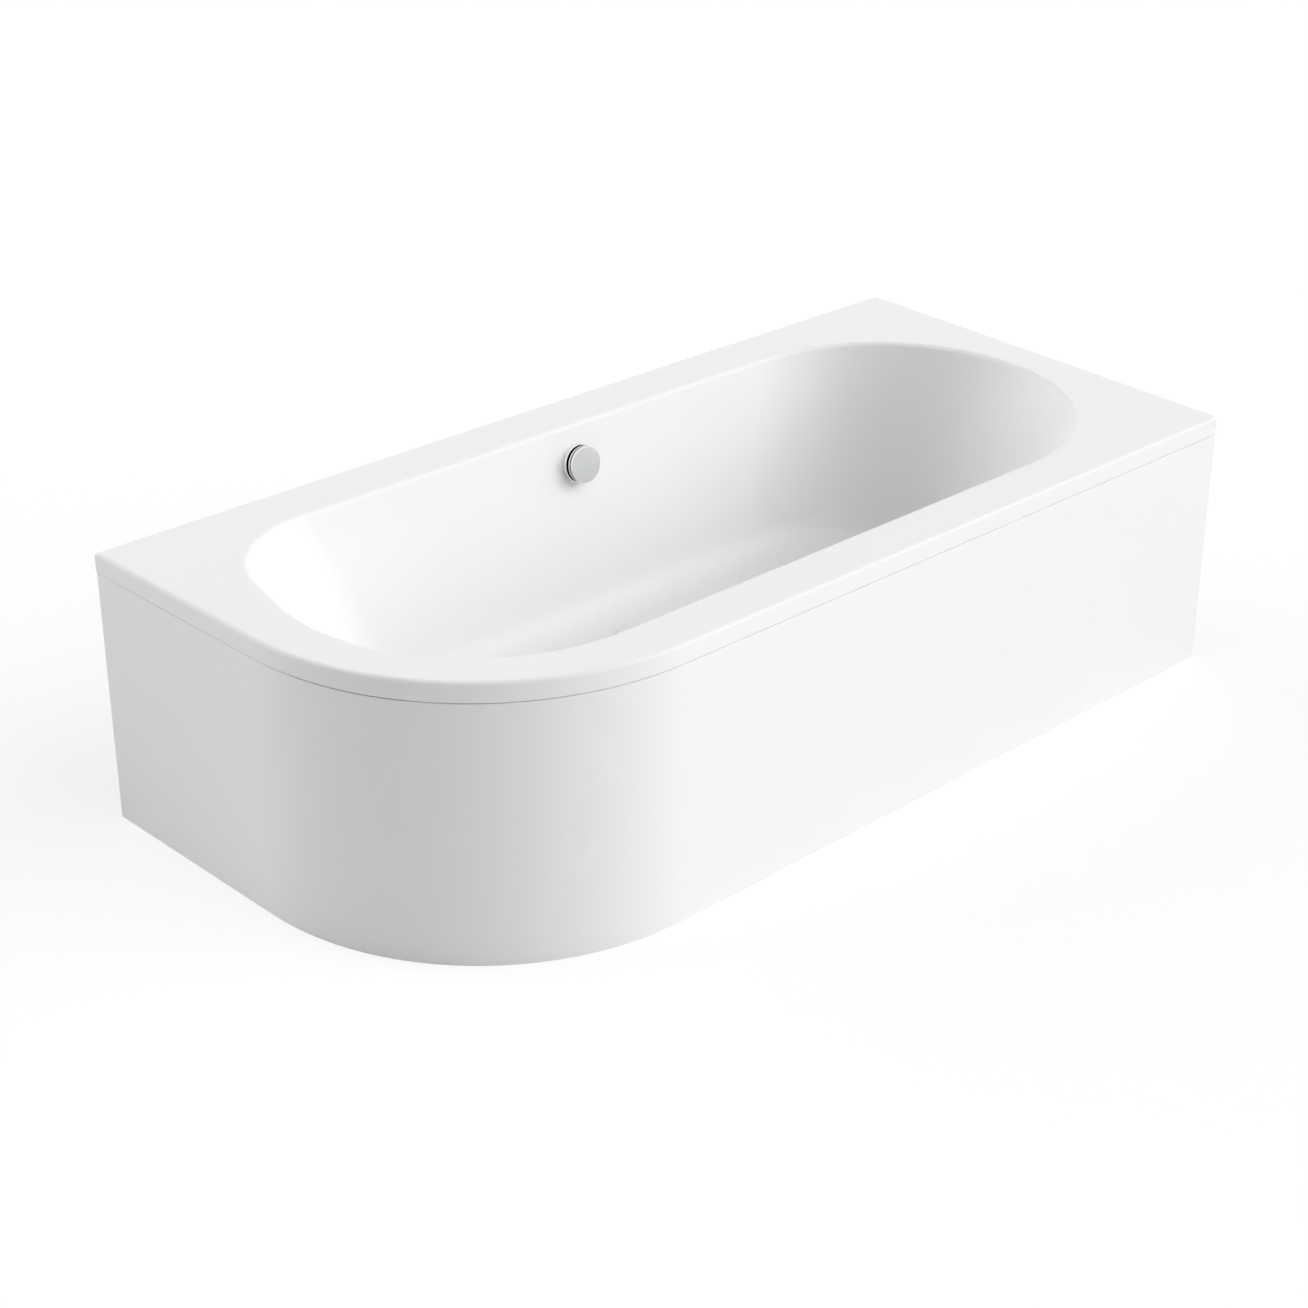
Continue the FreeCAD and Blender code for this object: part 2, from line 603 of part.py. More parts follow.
def panel_screw():
    """Screw from below through a clip and the panel's return."""
    top = SEAM_LEVEL - PANEL_SEAM
    y = PANEL_INSET + (PANEL_SKIN + PANEL_RETURN) / 2
    return small_screw(top - PANEL_SKIN - CLIP_GAUGE, top - PANEL_SCREW_COVER, y)


def floor_blocks():
    """Timber blocks on the floor that back the panel's lower return."""
    along, across, tall = BLOCK_SIZE
    near = PANEL_INSET + PANEL_RETURN
    block = box(-along / 2, along / 2, near, near + across, 0, tall)
    return [placed(block, frame) for frame in edge_frames()]


# ---------------------------------------------------------------- wall brackets
def wall_bracket():
    """Cranked strip in an edge's frame: screwed to the wall, hooked up behind the lip."""
    half = BRACKET_WIDTH / 2
    hook = SKIN + BRACKET_GAP
    shelf = SEAM_LEVEL - 2 * BRACKET_GAP
    strip = box(-half, half, 0, BRACKET_GAUGE, shelf - BRACKET_DROP, shelf)
    step = box(-half, half, 0, hook + BRACKET_GAUGE, shelf - BRACKET_GAUGE, shelf)
    upright = box(-half, half, hook, hook + BRACKET_GAUGE, shelf - BRACKET_GAUGE, DECK_UNDERSIDE)
    level = shelf - BRACKET_DROP / 2
    spots = [V(s * BRACKET_HOLE_PITCH / 2, -OVER, level) for s in (-1, 1)]
    holes = [rod_along(BRACKET_HOLE_RADIUS, spot, V(0, 1, 0), 2 * BRACKET_GAUGE) for spot in spots]
    return join([strip, step, upright]).cut(group(holes))


def wall_brackets():
    """Three brackets on the back wall and two on the end wall."""
    result = {}
    back_reach = LENGTH / 2 - BACK_BRACKET_INSET
    for name, side in (("left", -1), ("middle", 0), ("right", 1)):
        frame = FreeCAD.Placement(V(side * back_reach, WIDTH / 2, 0), FreeCAD.Rotation(V(0, 0, 1), 180))
        result["wall_bracket_back_" + name] = placed(wall_bracket(), frame)
    end_reach = WIDTH / 2 - END_BRACKET_INSET
    for name, side in (("front", -1), ("back", 1)):
        frame = FreeCAD.Placement(V(LENGTH / 2, side * end_reach, 0), FreeCAD.Rotation(V(0, 0, 1), 90))
        result["wall_bracket_end_" + name] = placed(wall_bracket(), frame)
    return result


# ---------------------------------------------------------------- waste
def waste_flange():
    """Chromed flange whose neck passes the floor, with a crossbar that guides the stem."""
    x, y = WASTE
    top = FLANGE_SEAT + FLANGE_THICKNESS
    disc = rod(FLANGE_RADIUS, FLANGE_SEAT, top, x, y)
    rim = [e for e in disc.Edges if e.BoundBox.ZMin > top - 0.01]
    disc = disc.makeFillet(FLANGE_THICKNESS / 2, rim)
    neck_end = BODY_TOP - BODY_FLANGE - 2 * BODY_WALL
    neck = rod(NECK_RADIUS, neck_end, FLANGE_SEAT, x, y)
    bore = rod(NECK_BORE, neck_end - OVER, top + OVER, x, y)
    bar_low = neck_end + BODY_WALL / 2
    bar_high = bar_low + BODY_WALL
    bar_reach = NECK_BORE + OVER
    bar = box(x - bar_reach, x + bar_reach, y - STEM_RADIUS, y + STEM_RADIUS, bar_low, bar_high)
    bush = rod(2 * STEM_RADIUS, bar_low, bar_high + BODY_WALL, x, y)
    guide = rod(STEM_RADIUS + RUNNING_PLAY, neck_end, HEIGHT, x, y)
    return join([disc.fuse(neck).cut(bore), bar, bush]).cut(guide)


def plug_level():
    """Underside of the closed plug."""
    return FLANGE_SEAT + FLANGE_THICKNESS + PLUG_GAP + PLUG_SEAL_THICKNESS


def waste_plug():
    """Domed chrome cap with the plug's collar."""
    low = plug_level()
    cap = rod(PLUG_RADIUS, low, low + PLUG_THICKNESS, *WASTE)
    rim = [e for e in cap.Edges if e.BoundBox.ZMin > low + PLUG_THICKNESS - 0.01]
    cap = cap.makeFillet(PLUG_THICKNESS / 2, rim)
    collar = rod(NECK_BORE - SEAL, low - FLANGE_THICKNESS, low, *WASTE)
    return join([cap, collar]).cut(rod(STEM_RADIUS, 0, low + STEM_SOCKET, *WASTE))


def lever_pivot():
    """Pivot point of the lift lever and half of its swing in radians."""
    swing = math.asin(PLUG_LIFT / 2 / LEVER_ARM)
    return V(WASTE[0], WASTE[1] - LEVER_ARM, BODY_BOTTOM + LEVER_PIVOT_RISE), swing


def stem_foot():
    """Lower end of the plug's stem when the plug is closed."""
    pivot, _ = lever_pivot()
    return pivot.z - PLUG_LIFT / 2 + LEVER_TIP_RADIUS + LEVER_GAP


def lift_lever():
    """Rocker that lifts the stem, lowered at rest."""
    pivot, swing = lever_pivot()
    across = V(1, 0, 0)
    start = pivot - across * (LEVER_WIDTH / 2)
    hub = rod_along(LEVER_HUB_RADIUS, start, across, LEVER_WIDTH)
    arm_half = LEVER_HUB_RADIUS / 2
    arm = box(pivot.x - LEVER_TIP_RADIUS, pivot.x + LEVER_TIP_RADIUS, pivot.y, pivot.y + LEVER_ARM,
              pivot.z - arm_half, pivot.z + arm_half)
    tip_start = pivot + V(-LEVER_TIP_RADIUS, LEVER_ARM, 0)
    tip = rod_along(LEVER_TIP_RADIUS, tip_start, across, 2 * LEVER_TIP_RADIUS)
    lever = join([hub, arm, tip])
    bore = rod_along(LEVER_PIN_RADIUS + RUNNING_PLAY, start - across * OVER, across, LEVER_WIDTH + 2 * OVER)
    lever = lever.cut(bore)
    lever.rotate(pivot, across, -math.degrees(swing))
    return lever


def lever_pin():
    """Pin across the waste body."""
    pivot, _ = lever_pivot()
    inner = BODY_RADIUS - BODY_WALL
    half = math.sqrt(inner ** 2 - LEVER_ARM ** 2) + BODY_WALL / 2
    return rod_along(LEVER_PIN_RADIUS, pivot - V(half, 0, 0), V(1, 0, 0), 2 * half)


def waste_body(pin):
    """Moulded chamber under the floor with the hose port, cable gland and outlet collar."""
    x, y = WASTE
    inner = BODY_RADIUS - BODY_WALL
    flange_low = BODY_TOP - BODY_FLANGE
    port = V(x, y, PORT_LEVEL)
    back = V(0, 1, 0)
    outside = [rod(BODY_RADIUS + BODY_WALL, flange_low, BODY_TOP, x, y),
               rod(BODY_RADIUS, BODY_BOTTOM, flange_low, x, y),
               rod(COLLAR_RADIUS, COLLAR_BOTTOM, BODY_BOTTOM, x, y),
               rod_along(HOSE_COLLAR_RADIUS, port, back, port_y() - y),
               rod_along(HOSE_BORE, port, back, port_y() - y + BARB_STEP + BARB_LENGTH),
               rod_along(GLAND_RADIUS, port + V(CABLE_OFFSET, 0, 0), back, cable_port_y() - y)]
    neck_end = flange_low - 2 * BODY_WALL
    inside = [rod(inner, BODY_BOTTOM + BODY_WALL, neck_end, x, y),
              rod(NECK_RADIUS, neck_end - OVER, BODY_TOP + OVER, x, y),
              rod(COLLAR_BORE, COLLAR_BOTTOM - OVER, BODY_BOTTOM + BODY_WALL + OVER, x, y),
              rod_along(BARB_BORE, port, back, port_y() - y + 2 * HOSE_NUT_LENGTH)]
    return join(outside).cut(join(inside)).cut(pin)


def port_y():
    """End of the hose port's collar on the waste body."""
    return WASTE[1] + BODY_RADIUS + BODY_WALL + NUT_CLEARANCE + HOSE_NUT_LENGTH / 3


def cable_port_y():
    """End of the cable gland on the waste body."""
    return WASTE[1] + BODY_RADIUS + 2 * BODY_WALL


# ---------------------------------------------------------------- trap
def trap_tube(radius, over):
    """Round solid along the trap's centre line, run on past both ends; the bend's bottom; the outlet."""
    x, y = WASTE
    bend_level = COLLAR_BOTTOM - TRAP_SEAL - 3 * PIPE_WALL
    out_x = x + 2 * TRAP_BEND
    out_z = bend_level + TRAP_KNEE
    top = V(x, y, COLLAR_BOTTOM - TRAP_SEAL + over)
    leg_end = V(x, y, bend_level)
    bottom = V(x + TRAP_BEND, y, bend_level - TRAP_BEND)
    riser = V(out_x, y, bend_level)
    slant = TRAP_KNEE * math.sqrt(0.5)
    knee = V(out_x + TRAP_KNEE - slant, y, bend_level + slant)
    outlet = V(out_x + TRAP_KNEE, y, out_z)
    wire = Part.Wire([Part.LineSegment(top, leg_end).toShape(), Part.Arc(leg_end, bottom, riser).toShape(),
                      Part.Arc(riser, knee, outlet).toShape(),
                      Part.LineSegment(outlet, outlet + V(PIPE_RADIUS + over, 0, 0)).toShape()])
    ring = Part.Wire([Part.makeCircle(radius, top)])
    return wire.makePipeShell([ring], True, True), bottom, outlet


def trap_pieces():
    """Trap body, its union nuts, seals, cleaning cap and the outlet pipe."""
    x, y = WASTE
    solid, low, outlet_start = trap_tube(PIPE_RADIUS, 0)
    bore = trap_tube(PIPE_RADIUS - PIPE_WALL, SOCKET_LENGTH)[0]
    along = V(1, 0, 0)
    leg_top = COLLAR_BOTTOM - TRAP_SEAL
    rim = rod(COLLAR_RADIUS, leg_top - PIPE_WALL, leg_top, x, y)
    pipe_start = outlet_start + along * (3 * PIPE_WALL)
    socket = rod_along(SOCKET_RADIUS, outlet_start, along, SOCKET_LENGTH)
    seat = rod_along(PIPE_NECK, pipe_start, along, SOCKET_LENGTH)
    cap_axis = V(0, -1, 0)
    boss_radius = CAP_RADIUS - PIPE_WALL
    boss_length = PIPE_RADIUS + 3 * PIPE_WALL
    boss = rod_along(boss_radius - PIPE_WALL, low, cap_axis, boss_length)
    body = join([solid, rim, socket, boss])
    body = body.cut(bore).cut(seat)
    cap_start = low + cap_axis * (PIPE_RADIUS + PIPE_WALL)
    cap = rod_along(CAP_RADIUS, cap_start, cap_axis, 4 * PIPE_WALL)
    cap = cap.cut(rod_along(boss_radius - PIPE_WALL, low, cap_axis, boss_length))
    nut_low, nut_high = leg_top - 3 * PIPE_WALL, COLLAR_BOTTOM + COLLAR_HEIGHT - PIPE_WALL
    nut = rod(TRAP_NUT_RADIUS, nut_low, nut_high, x, y)
    nut = nut.cut(rod(COLLAR_RADIUS, leg_top - PIPE_WALL, nut_high + OVER, x, y))
    nut = nut.cut(rod(PIPE_RADIUS, nut_low - OVER, leg_top, x, y))
    nut_start = outlet_start + along * (SOCKET_LENGTH / 2)
    nut_end = nut_start + along * OUTLET_NUT_LENGTH
    necked = rod_along(PIPE_NECK, pipe_start, along, nut_end.x - pipe_start.x)
    outlet = necked.fuse(rod_along(PIPE_RADIUS, nut_end, along, x + OUTLET_REACH - nut_end.x))
    outlet = outlet.cut(rod_along(PIPE_RADIUS - PIPE_WALL, outlet_start, along, OUTLET_REACH))
    print(f"outlet pipe: free from x {nut_end.x} to {x + OUTLET_REACH} at z {nut_end.z}")
    union = rod_along(OUTLET_NUT_RADIUS, nut_start, along, OUTLET_NUT_LENGTH)
    union = union.cut(rod_along(SOCKET_RADIUS, outlet_start, along, SOCKET_LENGTH))
    union = union.cut(rod_along(PIPE_NECK, nut_start, along, SOCKET_LENGTH))
    return {
        "trap_body": body,
        "trap_cleaning_cap": cap,
        "trap_union_nut": nut,
        "trap_seal": pipe(COLLAR_RADIUS, COLLAR_BORE, leg_top, COLLAR_BOTTOM, x, y),
        "outlet_union_nut": union,
        "outlet_pipe": outlet,
    }


# ---------------------------------------------------------------- overflow, in its own frame
def hose_start():
    """Distance down from the drum's axis to where the hose begins."""
    return RING_RADIUS + NUT_CLEARANCE + HOSE_NUT_LENGTH / 3 + BARB_STEP


def overflow_pieces():
    """Ring, knob, spindle, gasket, body and screws, built along Z and then placed."""
    back = -SKIN - SEAL
    down = V(0, -1, 0)
    screw_x = OVERFLOW_SCREW_PITCH / 2
    hose_axis = V(0, 0, -HOSE_AXIS_DEPTH)

    drum = [rod(RING_RADIUS, back - BODY_FLANGE, back), rod(DRUM_RADIUS, -DRUM_DEPTH, back - BODY_FLANGE),
            rod_along(HOSE_COLLAR_RADIUS, hose_axis, down, hose_start() - BARB_STEP),
            rod_along(HOSE_BORE, hose_axis, down, hose_start() + BARB_LENGTH),
            rod_along(GLAND_RADIUS, hose_axis + V(CABLE_OFFSET, 0, 0), down, cable_start())]
    hollow = [rod(DRUM_BORE, DRUM_WALL - DRUM_DEPTH, back + OVER),
              rod_along(BARB_BORE, hose_axis, down, 3 * DRUM_RADIUS)]
    bosses = [rod(SCREW_BOSS_RADIUS, OVER - DRUM_DEPTH, back - BODY_FLANGE, s * screw_x) for s in (-1, 1)]
    screws = []
    for s in (-1, 1):
        shank = rod(CLIP_SCREW_RADIUS, -HOSE_AXIS_DEPTH, RING_WALL, s * screw_x)
        head = rod(2 * CLIP_SCREW_RADIUS, RING_WALL, RING_WALL + CLIP_SCREW_HEAD, s * screw_x)
        screws.append(join([shank, head]))
    screws = group(screws)
    body = join(drum).cut(join(hollow)).fuse(group(bosses)).removeSplitter().cut(screws)

    ring = rod(RING_RADIUS, 0, RING_DEPTH)
    ring = ring.makeFillet(RING_WALL / 2, [e for e in ring.Edges if e.BoundBox.ZMin > RING_DEPTH - 0.01])
    ring = ring.cut(rod(RING_RADIUS - 2 * RING_WALL, RING_WALL, RING_DEPTH + OVER))
    bush = rod(2 * SPINDLE_RADIUS, -2 * RING_DEPTH, RING_DEPTH)
    windows = pipe(WINDOW_RADIUS, 3 * SPINDLE_RADIUS, -OVER, RING_WALL + OVER)
    half_bar = 1.5 * SPINDLE_RADIUS
    for angle in (0, 90):
        bar = box(-RING_RADIUS, RING_RADIUS, -half_bar, half_bar, -2 * OVER, RING_DEPTH)
        bar.rotate(V(0, 0, 0), V(0, 0, 1), angle)
        windows = windows.cut(bar)
    bore = rod(SPINDLE_RADIUS + RUNNING_PLAY, -DRUM_DEPTH, DRUM_DEPTH)
    ring = join([ring.cut(windows), bush]).cut(bore).cut(screws)

    low = RING_DEPTH + KNOB_GAP
    high = low + KNOB_DEPTH
    knob = rod(KNOB_RADIUS, low, high)
    knob = knob.makeFillet(KNOB_ROUND, [e for e in knob.Edges if e.BoundBox.ZMin > high - 0.01])
    knob = knob.cut(rod(KNOB_RADIUS - RING_WALL, low - OVER, high - KNOB_FACE))
    spindle_end = low + KNOB_DEPTH / 2
    hub = rod(2 * SPINDLE_RADIUS, RING_DEPTH + HUB_GAP, high - KNOB_FACE / 2)
    knob = join([knob, hub]).cut(rod(SPINDLE_RADIUS, 0, spindle_end))

    wheel_low = 2 * DRUM_WALL - DRUM_DEPTH
    wheel = pipe(WHEEL_RADIUS, SPINDLE_RADIUS, wheel_low, wheel_low + WHEEL_WIDTH)
    pieces = {
        "overflow_ring": ring,
        "overflow_knob": knob,
        "knob_spindle": rod(SPINDLE_RADIUS, wheel_low, spindle_end),
        "cable_wheel": wheel,
        "overflow_gasket": pipe(GASKET_RADIUS, WASTE_HOLE_RADIUS, back, -SKIN),
        "overflow_body": body,
        "overflow_screws": screws,
    }
    start = hose_start()
    nut_top = start - BARB_STEP - HOSE_NUT_LENGTH / 3
    nut = rod_along(HOSE_NUT_RADIUS, hose_axis + down * nut_top, down, HOSE_NUT_LENGTH)
    nut = nut.cut(rod_along(HOSE_COLLAR_RADIUS, hose_axis, down, start - BARB_STEP))
    nut = nut.cut(rod_along(HOSE_RADIUS + CLIP_PLAY, hose_axis, down, DRUM_RADIUS * 3))
    pieces["hose_nut_upper"] = nut
    return {name: at_overflow(shape) for name, shape in pieces.items()}


def cable_start():
    """Distance down from the drum's axis to where the cable leaves its gland."""
    return DRUM_RADIUS + 2 * BODY_WALL


def hose_nut_lower():
    """Union nut on the waste body's hose port."""
    along = V(0, 1, 0)
    centre = V(WASTE[0], port_y(), PORT_LEVEL)
    nut = rod_along(HOSE_NUT_RADIUS, centre - along * (HOSE_NUT_LENGTH / 3), along, HOSE_NUT_LENGTH)
    port = V(*WASTE, PORT_LEVEL)
    nut = nut.cut(rod_along(HOSE_COLLAR_RADIUS, port, along, port_y() - WASTE[1]))
    return nut.cut(rod_along(HOSE_RADIUS + CLIP_PLAY, port, along, HEIGHT))


# ---------------------------------------------------------------- hose and cable
def route(sideways, start_down, end_y, bend):
    """Wire of two straight runs joined by one tangent arc, from the overflow to the waste body."""
    frame = overflow_frame()
    start = frame.multVec(V(sideways, -start_down, -HOSE_AXIS_DEPTH))
    down = frame.Rotation.multVec(V(0, -1, 0))
    corner = start + down * ((start.z - PORT_LEVEL) / -down.z)
    end = V(start.x, end_y, PORT_LEVEL)
    along = V(0, -1, 0)
    turn = down.getAngle(along)
    reach = bend * math.tan(turn / 2)
    first = corner - down * reach
    last = corner + along * reach
    to_centre = (along - down).normalize()
    middle = corner + to_centre * (bend / math.cos(turn / 2) - bend)
    return Part.Wire([Part.LineSegment(start, first).toShape(), Part.Arc(first, middle, last).toShape(),
                      Part.LineSegment(last, end).toShape()])


def ring_at(wire, distance, radius):
    """Circle across a route at a distance along it, its X axis kept along the bath."""
    edges = wire.Edges
    left = distance
    index = 0
    while left > edges[index].Length and index < len(edges) - 1:
        left -= edges[index].Length
        index += 1
    parameter = edges[index].getParameterByLength(min(left, edges[index].Length))
    heading = edges[index].tangentAt(parameter)
    circle = Part.makeCircle(radius)
    circle.Placement = FreeCAD.Placement(edges[index].valueAt(parameter),
                                         FreeCAD.Rotation(V(1, 0, 0), V(0, 0, 0), heading, "ZXY"))
    return Part.Wire([circle])


def swept(wire, radius):
    """Plain round tube along a route."""
    tube = wire.makePipeShell([ring_at(wire, 0, radius)], True, True)
    expected = math.pi * radius ** 2 * wire.Length
    print(f"tube r {radius}: length {wire.Length:.1f}, volume {tube.Volume:.0f} against {expected:.0f}")
    return tube


def overflow_hose():
    """Ribbed hose with its bore, from the overflow's barb to the waste body's barb."""
    wire = route(0, hose_start(), port_y() + BARB_STEP, HOSE_BEND)
    count = int(wire.Length / HOSE_RIB_PITCH)
    pitch = wire.Length / count
    rings = []
    profile = ((0.0, HOSE_VALLEY), (0.25, HOSE_RADIUS), (0.5, HOSE_RADIUS), (0.75, HOSE_VALLEY))
    for i in range(count):
        for share, radius in profile:
            rings.append(ring_at(wire, (i + share) * pitch, radius))
    rings.append(ring_at(wire, wire.Length, HOSE_VALLEY))
    ribbed = Part.makeLoft(rings, True, True)
    print(f"hose: {count} ribs, length {wire.Length:.1f}, bend radius {HOSE_BEND}")
    return ribbed.cut(swept(wire, HOSE_BORE))


def control_cable():
    """Sheathed cable from the knob's drum to the lever's chamber."""
    wire = route(CABLE_OFFSET, cable_start(), cable_port_y(), CABLE_BEND)
    print(f"cable: length {wire.Length:.1f}, bend radius {CABLE_BEND}")
    return swept(wire, CABLE_RADIUS)


# ---------------------------------------------------------------- assembly
def all_parts():
    """Every node by name."""
    base_screws = cradle_screws()
    clip_screws = group([placed(clip_screw(), frame) for frame in edge_frames()])
    panel_screws = group([placed(panel_screw(), frame) for frame in edge_frames()])
    screws = group([clip_screws, panel_screws])
    clips = group([placed(panel_clip(), frame).cut(screws) for frame in edge_frames()])
    pin = lever_pin()
    plug_low = plug_level()
    seal_low = plug_low - PLUG_SEAL_THICKNESS
    parts = {
        "bath_shell": bath_shell(),
        "baseboard": baseboard(base_screws),
        "cradle_channel_left": cradle_channel(-1, base_screws),
        "cradle_channel_right": cradle_channel(1, base_screws),
        "cradle_screws": base_screws,
        "centre_foot_plate": centre_foot_plate(base_screws),
        "front_panel": front_panel(panel_screws),
        "panel_clips": clips,
        "clip_screws": clip_screws,
        "panel_screws": panel_screws,
        "panel_floor_blocks": group(floor_blocks()),
        "waste_flange": waste_flange(),
        "waste_upper_seal": pipe(FLANGE_RADIUS - SEAL, NECK_RADIUS, FLOOR_LEVEL, FLANGE_SEAT, *WASTE),
        "waste_lower_seal": pipe(BODY_RADIUS + SEAL, NECK_RADIUS, BODY_TOP, BOARD_TOP, *WASTE),
        "waste_body": waste_body(pin),
        "waste_plug": waste_plug(),
        "plug_seal": pipe(NECK_BORE + SEAL, NECK_BORE - SEAL, seal_low, plug_low, *WASTE),
        "plug_stem": rod(STEM_RADIUS, stem_foot(), plug_low + STEM_SOCKET, *WASTE),
        "lift_lever": lift_lever(),
        "lever_pin": pin,
        "hose_nut_lower": hose_nut_lower(),
        "overflow_hose": overflow_hose(),
        "control_cable": control_cable(),
    }
    parts.update(rim_battens(clip_screws))
    parts.update(foot_nuts())
    for name, x, y, top in foot_places():
        parts["foot_stud_" + name] = foot_stud(x, y, top)
        parts["foot_pad_" + name] = foot_pad(x, y)
    parts.update(wall_brackets())
    parts.update(trap_pieces())
    parts.update(overflow_pieces())
    return parts


def main():
    """Write one file for each node."""
    os.makedirs("parts", exist_ok=True)
    for name, shape in all_parts().items():
        print(f"{name}: {len(shape.Solids)} solids, {shape.Volume / 1000:.1f} cm3, valid {shape.isValid()}")
        shape.exportStep(f"parts/{name}.step")


main()
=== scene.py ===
import json
import math

import bpy
import bmesh
from mathutils import Matrix, Vector


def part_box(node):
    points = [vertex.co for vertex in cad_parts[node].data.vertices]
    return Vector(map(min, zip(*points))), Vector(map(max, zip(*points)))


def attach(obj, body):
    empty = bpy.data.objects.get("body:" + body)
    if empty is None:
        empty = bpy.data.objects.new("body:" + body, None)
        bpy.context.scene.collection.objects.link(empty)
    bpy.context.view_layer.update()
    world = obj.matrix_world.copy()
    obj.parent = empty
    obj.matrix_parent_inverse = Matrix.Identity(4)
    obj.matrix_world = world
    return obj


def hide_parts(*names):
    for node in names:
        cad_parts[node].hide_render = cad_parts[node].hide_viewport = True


# Looks of the corner bathtub. Metres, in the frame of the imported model: +X along the bath
# towards the end wall, +Y towards the back wall, +Z up, floor at z = 0.

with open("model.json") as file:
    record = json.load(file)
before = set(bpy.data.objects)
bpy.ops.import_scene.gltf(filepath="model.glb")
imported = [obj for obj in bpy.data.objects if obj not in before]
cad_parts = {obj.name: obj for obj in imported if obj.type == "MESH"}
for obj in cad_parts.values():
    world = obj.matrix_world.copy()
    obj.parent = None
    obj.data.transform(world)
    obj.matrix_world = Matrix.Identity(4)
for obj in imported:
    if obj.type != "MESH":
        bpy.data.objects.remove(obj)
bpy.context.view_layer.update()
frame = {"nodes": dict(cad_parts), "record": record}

# ---------------------------------------------------------------- places read from the frame
_, shell_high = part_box("bath_shell")
joints = frame["record"]["behaviour"]["joints"]
knob_turn = next(joint for joint in joints if joint["name"] == "knob_turn")
knob_centre = Vector(knob_turn["pos_m"])
knob_axis = Vector(knob_turn["axis"])

# ---------------------------------------------------------------- camera, from the photograph's fit
IMAGE_SIZE = 1308
CAMERA_PLACE = (-2.5237, -2.7447, 2.1767)
CAMERA_AZIMUTH = -41.63       # degrees, 0 looks along +Y
CAMERA_ELEVATION = 23.82
FOCAL_PIXELS = 2411.0
CENTRE_PIXEL = (654.0, 458.0)
SENSOR = 36.0                 # millimetres
CLIP_END = 200.0              # past the floor's corners

# ---------------------------------------------------------------- light and floor
AMBIENT = 0.08                # radiance of the surroundings that lights the object
BACKGROUND_WHITE = 1.0        # their radiance as the camera and reflections see them
SUN_ANGLE = 58.0              # degrees across, so that shadows are soft
SUNS = (                      # name, azimuth (0 from the front, + from the right), elevation, strength
    ("key", 30.0, 35.0, 1.90),
    ("side", 60.0, 12.0, 1.90),
    ("back", 210.0, 22.0, 2.35),
    ("top", 0.0, 90.0, 0.46),
)
FLOOR_SHADES = ((0.795, 0.795, 0.795), (0.805, 0.805, 0.805))
FLOOR_WHITE = 1.12            # radiance mixed into the floor as the camera and reflections see it
FLOOR_WHITE_SHARE = 0.65
FLOOR_HALF = 60.0
FLOOR_LEVEL = -0.0002         # just under the feet, so that no two faces share a plane

# ---------------------------------------------------------------- finish
NOISE_ROUGHNESS = 0.55
ACRYLIC_SHADES = ((0.828, 0.833, 0.832), (0.846, 0.848, 0.846))
ACRYLIC_GLOSS = (0.282, 0.298)             # roughness of the polished side
PEEL_SHARE = 0.03             # relief of the polished side, as a share of the strands' relief
LAMINATE_SHADES = ((0.58, 0.595, 0.57), (0.70, 0.71, 0.685))
LAMINATE_GLOSS = (0.42, 0.58)
STRAND_SIZE = (0.022, 0.0026, 0.0026)
STRAND_TURNS = (              # tilt and turn of each set of strands, in radians
    (0.35, 0.0), (1.25, 0.0), (2.35, 0.0), (0.7, 1.57), (2.1, 1.57), (0.0, 0.8),
)
CHROME_SHADES = ((0.80, 0.81, 0.83), (0.85, 0.855, 0.865))
# painted shade: near-black colour for the hollows of the ring and knob and for the knob's groove
HOLLOW_PAINTED_SHADE = (0.012, 0.012, 0.013)
HOLLOW_SHADE_DULLER = 0.3         # roughness added where shade is painted in the hollows
STEEL_SHADES = ((0.60, 0.60, 0.60), (0.74, 0.73, 0.69))
ZINC_STOPS = ((0.15, (0.40, 0.41, 0.42)), (0.55, (0.56, 0.57, 0.58)), (0.9, (0.70, 0.71, 0.71)))
WOOD_STOPS = ((0.1, (0.66, 0.47, 0.26)), (0.5, (0.58, 0.38, 0.19)), (0.95, (0.40, 0.23, 0.10)))
CHIP_STOPS = ((0.1, (0.30, 0.20, 0.11)), (0.45, (0.52, 0.38, 0.22)), (0.85, (0.68, 0.54, 0.35)))
GRAIN_ACROSS = 42.0
GRAIN_ALONG = 1.4
PORES_FINER = 9.0             # than the grain
MOULDED = {                   # per material slot: name, colour, shade, roughness, scale of the grain
    "white_plastic": ("white_moulding", (0.80, 0.80, 0.785), (0.76, 0.76, 0.745), 0.38, 900.0),
    "grey_hose": ("grey_hose", (0.44, 0.45, 0.46), (0.38, 0.39, 0.40), 0.42, 700.0),
    "black_plastic": ("black_moulding", (0.030, 0.030, 0.032), (0.018, 0.018, 0.020), 0.45, 800.0),
    "rubber": ("black_rubber", (0.022, 0.022, 0.022), (0.030, 0.030, 0.030), 0.66, 600.0),
}

# ---------------------------------------------------------------- where a finish or the painted shade ends
TURNED_DOWN = -0.12           # a face looks down when its normal's Z is below this
ABOVE_BASIN = 0.3             # height over the rim of a point that the basin's faces look at
BEHIND_PANEL = (0.3, 0.1)     # X and Y of a point that the panel's hidden side looks at
LIP_LEVEL = 0.455             # the lip's lower edge, which shows over the panel
LIP_BAND = 0.0015             # how far from that level a face may be
INSIDE_LIP = (1 / 0.86, 1 / 0.37, 0.0)     # 1 / half axes of a rounded oblong between basin and lip
RING_SHADE_RADIUS = 0.0335          # inner radius of the ring's chrome face; shade is painted inside it
RING_TOP = 0.009              # its height along the knob's axis
RING_SHADE_SETBACK = 0.0002            # depth under it where the painted shade starts
CAP_SHADE_SETBACK = 0.0003             # depth inside the knob's side where the painted shade starts
GROOVE_SHADE_REACH = 0.0001          # height over the groove that the painted shade reaches
